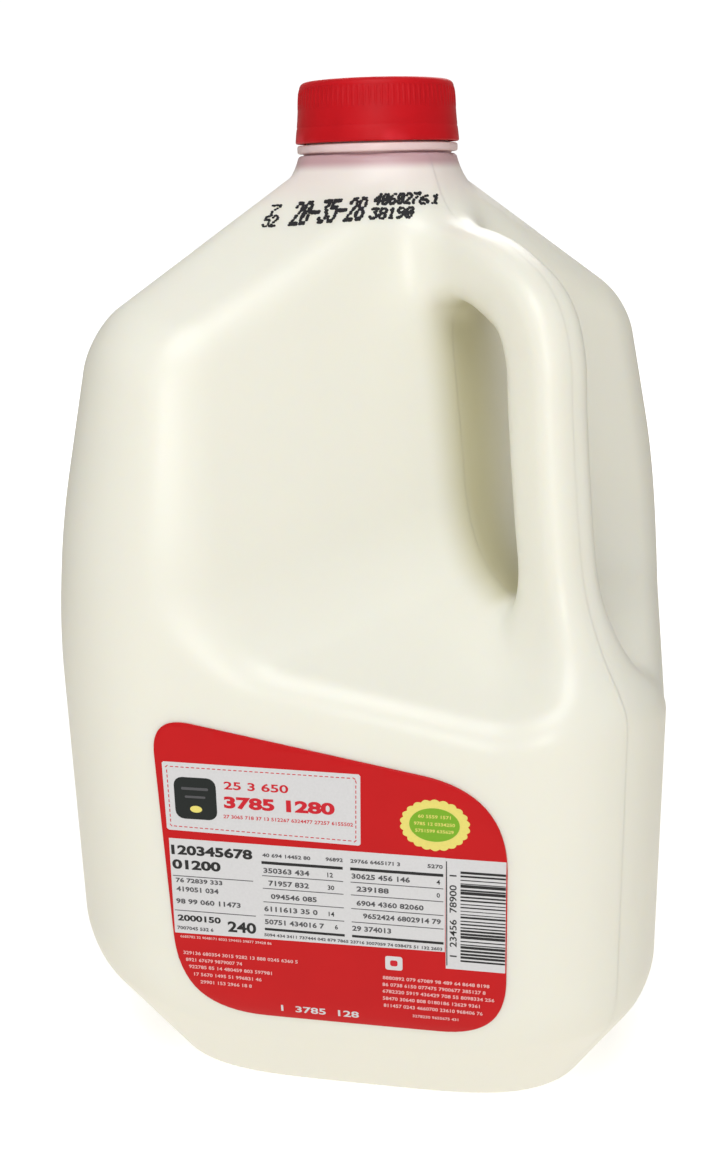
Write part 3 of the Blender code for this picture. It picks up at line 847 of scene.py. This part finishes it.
class JUG_OT_skin(bpy.types.Operator):
    """Adds the jug's blown skin, from base to neck"""
    bl_idname = "milk_jug.skin"
    bl_label = "Jug skin"

    def execute(self, context):
        settings = context.scene.jug_settings
        jug = linked("jug_skin", skin_start())
        remesh = jug.modifiers.new("even", "REMESH")
        remesh.mode = "VOXEL"
        remesh.voxel_size = settings.voxel
        baked(jug)
        settle(jug.data, SKIN_EVEN_PASSES, SKIN_LAST_PASSES)
        smooth(jug.data)
        jug.data.materials.clear()
        jug.data.materials.append(milk_material(settings))
        finish_piece(jug, ["jug"])
        return {"FINISHED"}


class JUG_OT_neck(bpy.types.Operator):
    """Adds the collar and the neck finish that the cap sits on"""
    bl_idname = "milk_jug.neck"
    bl_label = "Neck and collar"

    def execute(self, context):
        profile = [(0.0, FINISH_TOP)]
        profile += rounded_edge(FINISH_RADIUS - FINISH_ROUND, FINISH_TOP - FINISH_ROUND,
                                FINISH_ROUND, 0, 90)
        profile += [(FINISH_RADIUS, COLLAR_TOP + COLLAR_FILLET),
                    (FINISH_RADIUS + COLLAR_FILLET, COLLAR_TOP)]
        profile += rounded_edge(COLLAR_RADIUS - COLLAR_EDGE, COLLAR_TOP - COLLAR_EDGE,
                                COLLAR_EDGE, 0, 90)
        profile += rounded_edge(COLLAR_RADIUS - COLLAR_EDGE, COLLAR_BOTTOM + COLLAR_EDGE,
                                COLLAR_EDGE, 90, 180)
        profile += [(STUB_RADIUS + STUB_FILLET, COLLAR_BOTTOM),
                    (STUB_RADIUS, COLLAR_BOTTOM - STUB_FILLET),
                    (STUB_RADIUS, STUB_BOTTOM), (0.0, STUB_BOTTOM)]
        neck = turned("neck_finish", profile)
        smooth(neck.data, 40)
        neck.data.materials.clear()
        neck.data.materials.append(bpy.data.materials["milk_plastic"])
        finish_piece(neck, ["jug"])
        return {"FINISHED"}


class JUG_OT_seam(bpy.types.Operator):
    """Adds the fine raised line where the two mould halves met"""
    bl_idname = "milk_jug.seam"
    bl_label = "Mould seam"

    def execute(self, context):
        settings = context.scene.jug_settings
        path = mid_section(bpy.data.objects["jug_skin"].data)
        points = mesh_points(path)
        for _ in range(SEAM_PASSES):
            points = pulled_to_skin(points)
            points[:, 1] = 0.0
        slope = wall_slope(points)
        slope = slope / np.linalg.norm(slope, axis=1)[:, None]
        points = points - slope * (settings.seam_radius - settings.seam_rise)
        points[:, 2] = np.maximum(points[:, 2], settings.seam_radius)
        set_points(path, points)
        values = {"Radius": settings.seam_radius, "Material": bpy.data.materials["milk_plastic"]}
        seam = linked("mould_seam", grown(seam_tree(), path, values))
        smooth(seam.data)
        finish_piece(seam, [])
        return {"FINISHED"}


class JUG_OT_cap(bpy.types.Operator):
    """Adds the cap with its grip ribs"""
    bl_idname = "milk_jug.cap"
    bl_label = "Cap"

    def execute(self, context):
        settings = context.scene.cap_settings
        red = cap_material(settings)
        slope = (CAP_RADIUS_BOTTOM - CAP_RADIUS_TOP) / (CAP_TOP - CAP_BOTTOM)

        def radius(z):
            return CAP_RADIUS_TOP + slope * (CAP_TOP - z)

        rib = settings.rib_height
        top = CAP_TOP - CAP_TOP_DISH
        profile = [(0.0, top), (CAP_RADIUS_TOP - CAP_DISH_START, top),
                   (CAP_RADIUS_TOP - CAP_DISH_END, CAP_TOP)]
        profile += rounded_edge(CAP_RADIUS_TOP - rib - CAP_EDGE, CAP_TOP - CAP_EDGE, CAP_EDGE,
                                0, 84, 8)
        profile += [(radius(z) - rib, z) for z in CAP_SIDE]
        profile += [(radius(BAND_TOP) - rib, BAND_TOP + 0.45 * MM),
                    (radius(BAND_TOP) - rib - BAND_GROOVE, BAND_TOP + 0.25 * MM),
                    (radius(BAND_TOP) - rib - BAND_GROOVE, BAND_TOP),
                    (radius(BAND_TOP) - 0.05 * MM, BAND_TOP - 0.25 * MM),
                    (radius(CAP_LOW), CAP_LOW)]
        profile += rounded_edge(CAP_RADIUS_BOTTOM - CAP_RIM_ROUND, CAP_BOTTOM + CAP_RIM_ROUND,
                                CAP_RIM_ROUND, 90, 180)
        profile += [(CAP_RADIUS_BOTTOM - CAP_WALL, CAP_BOTTOM),
                    (CAP_RADIUS_TOP - CAP_WALL + CAP_INNER_SPREAD, CAP_TOP - CAP_WALL),
                    (0.0, CAP_TOP - CAP_WALL)]
        cap = turned("cap_shell", profile)
        smooth(cap.data, 34)
        cap.data.materials.clear()
        cap.data.materials.append(red)
        finish_piece(cap, ["cap"])

        width = RIB_HALF_WIDTH
        work = bmesh.new()
        rings = []
        for z, share in zip(RIB_HEIGHTS, RIB_PROUD):
            base = radius(z) - rib
            crest = base + rib * share
            flank = base + (crest - base) * 0.75
            section = [(base - RIB_ROOT, -width), (base - RIB_FOOT, -width),
                       (flank, -0.5 * width), (crest, 0.0), (flank, 0.5 * width),
                       (base - RIB_FOOT, width), (base - RIB_ROOT, width)]
            rings.append([work.verts.new((r, side, z)) for r, side in section])
        for upper, lower in zip(rings[:-1], rings[1:]):
            for i in range(len(upper)):
                j = (i + 1) % len(upper)
                work.faces.new((upper[i], upper[j], lower[j], lower[i]))
        work.faces.new(rings[0])
        work.faces.new(rings[-1])
        bmesh.ops.recalc_face_normals(work, faces=work.faces)
        values = {"Count": settings.rib_count, "Material": red}
        ribs = linked("cap_ribs", grown(ring_tree(), mesh_from_work(work, "cap_rib"), values))
        smooth(ribs.data, 50)
        finish_piece(ribs, [])
        return {"FINISHED"}


# label

def label_outline():
    """Rounded four-cornered outline whose top edge falls to the right, as (u, z)."""
    corners = [
        (LABEL_LEFT, LABEL_TOP_LEFT),
        (LABEL_RIGHT, LABEL_TOP_RIGHT),
        (LABEL_RIGHT, LABEL_BOTTOM),
        (LABEL_LEFT + LABEL_LEFT_LEAN, LABEL_BOTTOM),
    ]
    outline = []
    for index, corner in enumerate(corners):
        before = np.array(corners[index - 1])
        after = np.array(corners[(index + 1) % 4])
        here = np.array(corner)
        reach = LABEL_REACH_MM[index] * MM
        start = here + (before - here) / np.linalg.norm(before - here) * reach
        end = here + (after - here) / np.linalg.norm(after - here) * reach
        for step in range(17):
            t = step / 16.0
            point = (1 - t) ** 2 * start + 2 * t * (1 - t) * here + t * t * end
            outline.append((float(point[0]), float(point[1])))
    return outline


def flat_shape(outline, thickness):
    """A thin plate with an outline in (u, z), cut into a grid so that it can follow the skin."""
    work = bmesh.new()
    work.faces.new([work.verts.new((u, z, 0.0)) for u, z in outline])
    low = np.min(outline, axis=0)
    high = np.max(outline, axis=0)
    for axis in range(2):
        normal = (1, 0, 0) if axis == 0 else (0, 1, 0)
        for i in range(1, int((high[axis] - low[axis]) / PRINT_GRID) + 1):
            place = [0.0, 0.0, 0.0]
            place[axis] = low[axis] + i * PRINT_GRID
            if place[axis] < high[axis] - 0.2 * MM:
                geometry = work.verts[:] + work.edges[:] + work.faces[:]
                bmesh.ops.bisect_plane(work, geom=geometry, plane_co=place, plane_no=normal)
    bmesh.ops.triangulate(work, faces=work.faces)
    top = bmesh.ops.extrude_face_region(work, geom=work.faces[:])
    for item in top["geom"]:
        if isinstance(item, bmesh.types.BMVert):
            item.co.z += thickness
    bmesh.ops.recalc_face_normals(work, faces=work.faces)
    return mesh_from_work(work, "plate")


def rounded_box(left, right, bottom, top, radius):
    """Outline of a box with round corners."""
    points = []
    for cx, cz, start in ((right - radius, top - radius, 0), (left + radius, top - radius, 90),
                          (left + radius, bottom + radius, 180),
                          (right - radius, bottom + radius, 270)):
        for step in range(5):
            angle = math.radians(start + 22.5 * step)
            points.append((cx + radius * math.cos(angle), cz + radius * math.sin(angle)))
    return points


def scalloped(cu, cz, half_width, half_height, lobes, depth):
    """Outline of an oval with a wavy rim."""
    points = []
    for step in range(lobes * 8):
        angle = 2.0 * math.pi * step / (lobes * 8)
        size = 1.0 + depth * abs(math.sin(angle * lobes / 2.0))
        points.append((cu + half_width * size * math.cos(angle),
                       cz + half_height * size * math.sin(angle)))
    return points


def oval(cu, cz, half_width, half_height, steps=40):
    return [(cu + half_width * math.cos(2.0 * math.pi * i / steps),
             cz + half_height * math.sin(2.0 * math.pi * i / steps)) for i in range(steps)]


class Ink:
    """Shapes of one ink on the label, laid out flat and then laid on the skin."""

    def __init__(self, name, material, layer):
        self.name = name
        self.material = material
        self.layer = layer
        self.work = bmesh.new()

    def put(self, mesh, place=Matrix.Identity(4)):
        mesh.transform(place)
        self.work.from_mesh(mesh)
        bpy.data.meshes.remove(mesh)

    def plate(self, outline_mm):
        self.put(flat_shape([(u * MM, z * MM) for u, z in outline_mm], INK))

    def box(self, left, right, bottom, top, radius=0.0):
        if radius > 0.0:
            self.plate(rounded_box(left, right, bottom, top, radius))
        else:
            self.plate([(left, bottom), (right, bottom), (right, top), (left, top)])

    def rule(self, left, right, middle, weight):
        self.box(left, right, middle - 0.5 * weight, middle + 0.5 * weight)

    def words(self, left, right, bottom, height, seed, weight=0.015):
        """A line of plain figures in groups, in place of a line of words."""
        random = np.random.default_rng(seed)
        count = max(2, int((right - left) / (height * 0.72)))
        line = ""
        while len(line) < count:
            group = random.integers(0, 10, size=random.integers(2, 8))
            line += "".join(str(figure) for figure in group) + " "
        self.number(line[:count].strip(), left, bottom, height, weight, width=right - left)

    def number(self, figures, left, bottom, height, weight=0.02, upright=False, width=None):
        """Plain figures, level or turned to read upwards."""
        curve = bpy.data.curves.new("figures", "FONT")
        curve.body = figures
        curve.size = 1.0
        curve.offset = weight
        curve.extrude = 0.5
        curve.resolution_u = 2 if height < FINE_FIGURES else 5
        item = linked("figures", curve)
        mesh = evaluated_mesh(item)
        bpy.data.objects.remove(item, do_unlink=True)
        points = mesh_points(mesh)
        low = points.min(axis=0)
        high = points.max(axis=0)
        scale = height * MM / (high[1] - low[1])
        stretch = scale if width is None else width * MM / (high[0] - low[0])
        flat = (points - low) * [stretch, scale, INK]
        if upright:
            flat = np.column_stack([-flat[:, 1], flat[:, 0], flat[:, 2]])
        set_points(mesh, flat)
        self.put(mesh, Matrix.Translation((left * MM, bottom * MM, 0.0)))

    def lay(self):
        """Wraps the shapes onto the film and gives the finished piece."""
        bmesh.ops.recalc_face_normals(self.work, faces=self.work.faces)
        mesh = mesh_from_work(self.work, self.name)
        flat = mesh_points(mesh)
        lift = LABEL_FACE + flat[:, 2] + self.layer * INK
        set_points(mesh, on_skin(flat[:, 0], flat[:, 1], lift))
        mesh.materials.clear()
        mesh.materials.append(self.material)
        for polygon in mesh.polygons:
            polygon.material_index = 0
        item = linked(self.name, mesh)
        finish_piece(item, [])
        return item


def add_film(settings):
    """The label's film, a little worn down along its outline."""
    mesh = flat_shape(label_outline(), LABEL_FACE - LABEL_BACK)
    work = bmesh.new()
    work.from_mesh(mesh)
    rim = [edge for edge in work.edges
           if all(vertex.co.z > 0.0 for vertex in edge.verts)
           and any(abs(face.normal.z) < 0.5 for face in edge.link_faces)
           and any(abs(face.normal.z) > 0.5 for face in edge.link_faces)]
    bmesh.ops.bevel(work, geom=rim, offset=LABEL_RIM, segments=2, affect="EDGES", profile=0.5)
    bmesh.ops.triangulate(work, faces=work.faces)
    work.to_mesh(mesh)
    work.free()
    flat = mesh_points(mesh)
    set_points(mesh, on_skin(flat[:, 0], flat[:, 1], LABEL_BACK + flat[:, 2]))
    film = linked("label_film", mesh)
    smooth(mesh, 40)
    mesh.materials.append(film_material(settings))
    finish_piece(film, ["label"])


class JUG_OT_label(bpy.types.Operator):
    """Adds the sticker label and its print"""
    bl_idname = "milk_jug.label"
    bl_label = "Label"

    def execute(self, context):
        settings = context.scene.label_settings
        trees = {"bars": bars_tree(), "dashes": dashes_tree()}
        white = ink_material("white_ink", (0.70, 0.70, 0.73))
        pale = ink_material("pale_ink", (0.80, 0.52, 0.52))
        black = ink_material("black_ink", (0.030, 0.030, 0.032))
        grey = ink_material("grey_ink", (0.10, 0.10, 0.11))
        red = ink_material("red_ink", (0.62, 0.02, 0.035))
        yellow = ink_material("yellow_ink", (0.84, 0.74, 0.20))
        green = ink_material("green_ink", (0.21, 0.45, 0.03))
        dark = ink_material("badge_ink", (0.020, 0.024, 0.024))
        add_film(settings)

        ground = Ink("print_white", white, 0)
        ground.plate([(-41.8, 99.0), (-41.4, 99.4), (5.8, 98.95), (6.2, 98.5), (5.85, 80.9),
                      (5.4, 80.5), (-41.2, 81.35), (-41.7, 81.8)])
        ground.plate([(-41.4, 79.1), (-41.6, 52.9), (25.7, 53.6), (25.9, 78.8)])
        ground.box(25.9, 40.1, 49.1, 78.75)
        ground.number("1  3785  128", -15.4, 32.7, 1.9, 0.02, width=19.7)
        ground.box(11.2, 15.4, 47.4, 51.2, 0.6)
        ground.lay()

        fine = Ink("print_small_white", pale, 0)
        rows = [(-40.3, -17.0, 51.6, 0.7), (-39.8, -10.6, 46.9, 0.95), (-39.3, -24.8, 44.95, 0.95),
                (-38.6, -17.3, 43.0, 0.95), (-37.4, -20.0, 40.9, 0.95), (-35.9, -22.6, 38.8, 0.95),
                (10.5, 36.4, 44.6, 0.95), (10.4, 35.5, 42.7, 0.95), (10.4, 37.6, 40.8, 0.95),
                (10.4, 34.1, 38.8, 0.95), (10.6, 34.8, 36.8, 0.95), (17.7, 28.9, 34.5, 0.8)]
        for i, (left, right, bottom, height) in enumerate(rows):
            fine.words(left, right, bottom, height, settings.seed + i)
        fine.lay()

        title = Ink("print_red", red, 1)
        title.number("25 3 650", -26.8, 93.0, 2.1, 0.02, width=15.7)
        title.number("3785 1280", -27.0, 88.0, 3.2, 0.045, width=26.9)
        title.words(-27.3, 4.2, 85.4, 0.95, settings.seed + 23)
        border = bpy.data.meshes.new("border")
        corners = [(-40.7, 98.2), (5.15, 97.85), (4.75, 81.6), (-40.6, 82.45)]
        border.from_pydata([(u * MM, z * MM, 0.0) for u, z in corners],
                           [(0, 1), (1, 2), (2, 3), (3, 0)], [])
        values = {"Pitch": 1.3 * MM, "Length": 0.8 * MM, "Width": 0.22 * MM, "Thickness": INK,
                  "Material": red}
        title.put(grown(trees["dashes"], border, values))
        title.box(12.4, 14.2, 48.5, 50.1, 0.5)
        title.lay()

        badge = Ink("print_badge", dark, 1)
        badge.box(-39.2, -28.8, 84.6, 95.6, 2.2)
        badge.lay()
        leaf = Ink("print_badge_spot", yellow, 2)
        leaf.plate(oval(-34.0, 87.3, 1.5, 0.9, 20))
        leaf.lay()
        lines = Ink("print_badge_lines", grey, 2)
        lines.box(-37.4, -30.7, 92.3, 93.0, 0.3)
        lines.box(-36.6, -31.5, 90.2, 90.8, 0.28)
        lines.lay()

        bold = Ink("print_black", black, 1)
        bold.number("120345678", -41.0, 74.7, 2.7, 0.04, width=20.3)
        bold.number("01200", -41.0, 70.8, 2.6, 0.04, width=12.2)
        bold.number("2000150", -40.6, 56.4, 1.7, 0.035, width=11.0)
        bold.number("240", -27.9, 54.3, 3.0, 0.03, width=7.2)
        for left, right in ((-18.5, 1.4), (3.2, 25.4)):
            bold.rule(left, right, 74.2, 0.75)
            bold.rule(left, right, 55.95, 0.65)
        for left, bottom, figures in ((-2.4, 71.5, "12"), (-2.4, 68.1, "30"), (-2.4, 60.9, "14"),
                                      (-1.0, 57.4, "6"), (23.8, 71.7, "4"), (23.8, 68.2, "0")):
            bold.number(figures, left, bottom, 1.25, 0.02)
        bold.box(26.05, 26.3, 50.0, 78.0)
        bars = grown(trees["bars"], bpy.data.meshes.new("empty"),
                     {"Count": settings.stripe_count, "Pitch": 24.6 / settings.stripe_count * MM,
                      "Length": 10.6 * MM, "Thickness": INK, "Seed": settings.seed,
                      "Material": black})
        bold.put(bars, Matrix.Translation((34.75 * MM, 51.3 * MM, 0.0)))
        bold.number("1  23456  78900  1", 28.55, 52.5, 1.7, 0.01, upright=True, width=22.0)
        bold.lay()

        thin = Ink("print_grey", grey, 1)
        for left, right in ((-18.5, 1.4), (3.2, 25.4)):
            for middle in (70.65, 67.2, 63.5, 59.85):
                thin.rule(left, right, middle, 0.2)
        thin.rule(-41.1, -20.8, 68.9, 0.2)
        thin.rule(-41.2, -20.6, 59.3, 0.2)
        rows = [(-40.4, -28.6, 67.1, 1.1), (-40.4, -29.7, 64.6, 1.2), (-40.7, -24.3, 61.2, 1.25),
                (-40.9, -31.6, 53.9, 0.85), (-18.2, -6.4, 75.7, 0.9), (-2.7, 1.5, 75.8, 0.9),
                (-18.1, -6.8, 71.4, 1.25), (-17.0, -7.0, 68.0, 1.25), (-16.6, -5.2, 64.4, 1.25),
                (-18.4, -5.1, 60.9, 1.25), (-18.4, -3.6, 57.3, 1.25), (3.3, 15.2, 75.8, 0.9),
                (21.7, 25.3, 75.9, 0.9), (3.5, 17.5, 71.6, 1.25), (4.6, 12.4, 68.2, 1.25),
                (4.5, 20.7, 64.4, 1.25), (6.0, 24.8, 61.0, 1.25), (3.3, 12.8, 57.4, 1.25),
                (-18.7, 25.1, 53.9, 0.75)]
        for i, (left, right, bottom, height) in enumerate(rows):
            thin.words(left, right, bottom, height * 1.16, settings.seed + 70 + i, 0.03)
        thin.lay()

        seal = Ink("print_seal", yellow, 1)
        seal.plate(scalloped(23.5, 87.1, 7.7, 6.2, 22, 0.07))
        seal.lay()
        band = Ink("print_seal_band", green, 2)
        band.plate(oval(23.4, 87.2, 5.9, 4.3))
        band.lay()
        marks = Ink("print_seal_lines", yellow, 3)
        for i, (left, right, bottom) in enumerate(((19.6, 27.2, 88.9), (18.6, 28.2, 87.0),
                                                   (18.9, 27.9, 85.2))):
            marks.words(left, right, bottom, 0.85, settings.seed + 90 + i)
        marks.lay()
        return {"FINISHED"}


# date marks

FIGURE_COLUMNS = 6              # with the space after a figure
FIGURE_TOP = 6                  # number of the uppermost row of dots, from 0
TALL_FIGURES = 3.0              # figures above this height, in mm, have twice the rows
DOT_SCATTER = 0.05              # how far, in mm, a dot strays
DOT_LIFT = 0.02 * MM
DOT_DEPTH = 0.06 * MM
FIGURES = {
    "0": "01110 10001 10011 10101 11001 10001 01110",
    "1": "00100 01100 00100 00100 00100 00100 01110",
    "2": "01110 10001 00001 00010 00100 01000 11111",
    "3": "11111 00010 00100 00010 00001 10001 01110",
    "4": "00010 00110 01010 10010 11111 00010 00010",
    "5": "11111 10000 11110 00001 00001 10001 01110",
    "6": "00110 01000 10000 11110 10001 10001 01110",
    "7": "11111 00001 00010 00100 01000 01000 01000",
    "8": "01110 10001 10001 01110 10001 10001 01110",
    "9": "01110 10001 10001 01111 00001 00010 01100",
    "-": "00000 00000 00000 11111 00000 00000 00000",
    " ": "00000 00000 00000 00000 00000 00000 00000",
}


def figure_dots(text, left, bottom, width, height, slant, rise, size):
    """Dots of a row of figures: mm along the face and up, and their size."""
    dots = []
    columns = len(text) * FIGURE_COLUMNS - 1
    lines = 2 if height > TALL_FIGURES else 1
    for index, mark in enumerate(text):
        for row, line in enumerate(FIGURES[mark].split()):
            for column, dot in enumerate(line):
                for part in range(lines if dot == "1" else 0):
                    across = (index * FIGURE_COLUMNS + column) / (columns - 1) * width
                    up = (FIGURE_TOP - row + 0.5 * part) / (FIGURE_TOP + 0.5) * height
                    dots.append((left + across + slant * up, bottom + up + rise * across, size))
    return dots


class JUG_OT_date(bpy.types.Operator):
    """Adds the dotted ink figures on the shoulder"""
    bl_idname = "milk_jug.date"
    bl_label = "Date marks"

    def execute(self, context):
        settings = context.scene.date_settings
        slant = settings.slant
        rows = [("52", -22.6, 220.2, 3.0, 2.4, slant, 0.05, 1.2),
                ("7", -21.6, 222.9, 1.9, 2.1, slant, 0.05, 1.2),
                ("20-35-28", -15.9, 220.5, 16.8, 4.9, slant, 0.05, 1.35),
                ("406027", 3.6, 224.7, 9.8, 2.3, slant, 0.01, 1.2),
                ("38190", 2.9, 221.5, 9.4, 2.3, slant, 0.01, 1.2),
                ("61", 14.0, 224.6, 4.2, 1.9, slant, 0.01, 1.25)]
        dots = np.array([dot for row in rows for dot in figure_dots(*row)])
        random = np.random.default_rng(3)
        places = (dots[:, :2] + random.normal(0.0, DOT_SCATTER, (len(dots), 2))) * MM
        points = on_skin(places[:, 0], places[:, 1], np.full(len(dots), DOT_LIFT))
        facing = wall_slope(points)
        mesh = bpy.data.meshes.new("date_points")
        mesh.from_pydata(points.tolist(), [], [])
        layer = mesh.attributes.new("facing", "FLOAT_VECTOR", "POINT")
        layer.data.foreach_set("vector", facing.astype(np.float32).ravel())
        layer = mesh.attributes.new("size", "FLOAT", "POINT")
        layer.data.foreach_set("value", dots[:, 2].astype(np.float32))
        values = {"Radius": settings.dot_radius, "Depth": DOT_DEPTH, "Seed": 4,
                  "Material": ink_material("date_ink", (0.022, 0.022, 0.026), 0.5)}
        date = linked("date_marks", grown(dots_tree(), mesh, values))
        finish_piece(date, [])
        return {"FINISHED"}


# stage

MIDDLE = (0.0, 0.0, 0.13)       # what the lights aim at
COOL_LIGHT = (0.97, 0.99, 1.0)
PLAIN_LIGHT = (1.0, 1.0, 1.0)


def add_light(name, place, power, size, color):
    """A square light that aims at the middle of the jug."""
    light = bpy.data.lights.new(name, "AREA")
    light.shape = "RECTANGLE"
    light.size, light.size_y = size, size
    light.energy = power
    light.color = color
    item = bpy.data.objects.new(name, light)
    bpy.context.scene.collection.objects.link(item)
    item.location = place
    item.rotation_euler = (Vector(MIDDLE) - Vector(place)).to_track_quat("-Z", "Y").to_euler()


def from_side(azimuth, elevation, distance):
    """A place round the jug, by compass angle, angle above the floor, and distance."""
    a, e = math.radians(azimuth), math.radians(elevation)
    return (distance * math.sin(a) * math.cos(e), -distance * math.cos(a) * math.cos(e),
            MIDDLE[2] + distance * math.sin(e))


class JUG_OT_stage(bpy.types.Operator):
    """Adds the floor, the lights and the photograph's camera"""
    bl_idname = "milk_jug.stage"
    bl_label = "Stage"

    def execute(self, context):
        settings = context.scene.stage_settings
        work = bmesh.new()
        bmesh.ops.create_grid(work, x_segments=8, y_segments=8, size=4.0)
        floor = linked("floor", mesh_from_work(work, "floor"))
        plain = tuple(settings.floor_color)
        material, tree, shader, place = start_material("floor", plain, 0.8, 0.2)
        cloud = spread(tree, noise(tree, place, 3.0, 2.0), 0.985, 1.0)
        tree.links.new(mottled(tree, plain, cloud), shader.inputs["Base Color"])
        shader.inputs["Emission Color"].default_value = (1.0, 1.0, 1.0, 1.0)
        parts = add_node(tree, "ShaderNodeSeparateXYZ", {0: place})
        away = math_node(tree, "SQRT", math_node(
            tree, "ADD", math_node(tree, "MULTIPLY", parts.outputs["X"], parts.outputs["X"]),
            math_node(tree, "MULTIPLY", parts.outputs["Y"], parts.outputs["Y"])))
        glow = spread(tree, soft_step(tree, away, 0.15, 0.8), settings.floor_glow, 1.0)
        tree.links.new(glow, shader.inputs["Emission Strength"])
        floor.data.materials.append(material)
        floor.visible_diffuse = False
        floor.visible_glossy = False
        floor.visible_shadow = False

        world = bpy.data.worlds.new("sky")
        context.scene.world = world
        world.use_nodes = True
        sky = world.node_tree.nodes["Background"]
        tree = world.node_tree
        facing = add_node(tree, "ShaderNodeTexCoord").outputs["Generated"]
        rise = add_node(tree, "ShaderNodeSeparateXYZ", {0: facing}).outputs["Z"]
        across = add_node(tree, "ShaderNodeVectorMath", {0: facing, 1: CAMERA_RIGHT},
                          operation="DOT_PRODUCT").outputs["Value"]
        aside = soft_step(tree, math_node(tree, "ABSOLUTE", across), 0.95, 0.35)
        dome = math_node(tree, "MULTIPLY", spread(tree, aside, 0.58, 1.0), settings.sky_strength)
        below = soft_step(tree, rise, -0.15, -0.5)
        dome = math_node(tree, "MULTIPLY_ADD", below, settings.bounce_strength, dome)
        seen = add_node(tree, "ShaderNodeLightPath").outputs["Is Camera Ray"]
        tree.links.new(spread(tree, seen, dome, settings.backdrop), sky.inputs["Strength"])
        color = mix_color(tree, seen, tuple(settings.sky_color), (1.0, 1.0, 1.0))
        tree.links.new(color, sky.inputs["Color"])

        add_light("key", from_side(51.0, 52.0, 1.15), settings.key_power, 0.6, COOL_LIGHT)
        add_light("back", from_side(228.0, 38.0, 1.4), settings.back_power, 0.8, PLAIN_LIGHT)
        add_light("front", from_side(52.0, 12.0, 1.5), settings.front_power, 0.5, COOL_LIGHT)

        context.scene.view_settings.view_transform = "Standard"

        camera = bpy.data.cameras.new("camera")
        camera.sensor_width = 36.0
        camera.lens = CAMERA_LENS
        camera.clip_start = 0.01
        camera.clip_end = 50.0
        item = bpy.data.objects.new("camera", camera)
        context.scene.collection.objects.link(item)
        right = Vector(CAMERA_RIGHT).normalized()
        up = Vector(CAMERA_UP).normalized()
        back = right.cross(up)
        turn = Matrix((right, up, back)).transposed().to_4x4()
        item.matrix_world = Matrix.Translation(CAMERA_PLACE) @ turn
        context.scene.camera = item
        return {"FINISHED"}


STEPS = (JUG_OT_skin, JUG_OT_neck, JUG_OT_seam, JUG_OT_cap, JUG_OT_label, JUG_OT_date, JUG_OT_stage)


class JUG_PT_panel(bpy.types.Panel):
    """Lists the jug's pieces and their settings"""
    bl_idname = "JUG_PT_panel"
    bl_label = "Milk jug"
    bl_space_type = "VIEW_3D"
    bl_region_type = "UI"
    bl_category = "Milk jug"

    def draw(self, context):
        scene = context.scene
        for settings in (scene.jug_settings, scene.cap_settings, scene.label_settings,
                         scene.date_settings, scene.stage_settings):
            box = self.layout.box()
            for name in settings.__annotations__:
                box.prop(settings, name)
        for step in STEPS:
            self.layout.operator(step.bl_idname)


SETTINGS = {"jug_settings": JugSettings, "cap_settings": CapSettings,
            "label_settings": LabelSettings, "date_settings": DateSettings,
            "stage_settings": StageSettings}


def register():
    for kind in (*SETTINGS.values(), *STEPS, JUG_PT_panel):
        bpy.utils.register_class(kind)
    for name, kind in SETTINGS.items():
        setattr(bpy.types.Scene, name, PointerProperty(type=kind))


def unregister():
    for name in SETTINGS:
        delattr(bpy.types.Scene, name)
    for kind in (JUG_PT_panel, *reversed(STEPS), *reversed(SETTINGS.values())):
        bpy.utils.unregister_class(kind)


def main():
    register()
    for step in STEPS:
        group, call = step.bl_idname.split(".")
        getattr(getattr(bpy.ops, group), call)()


if __name__ == "__main__":
    main()
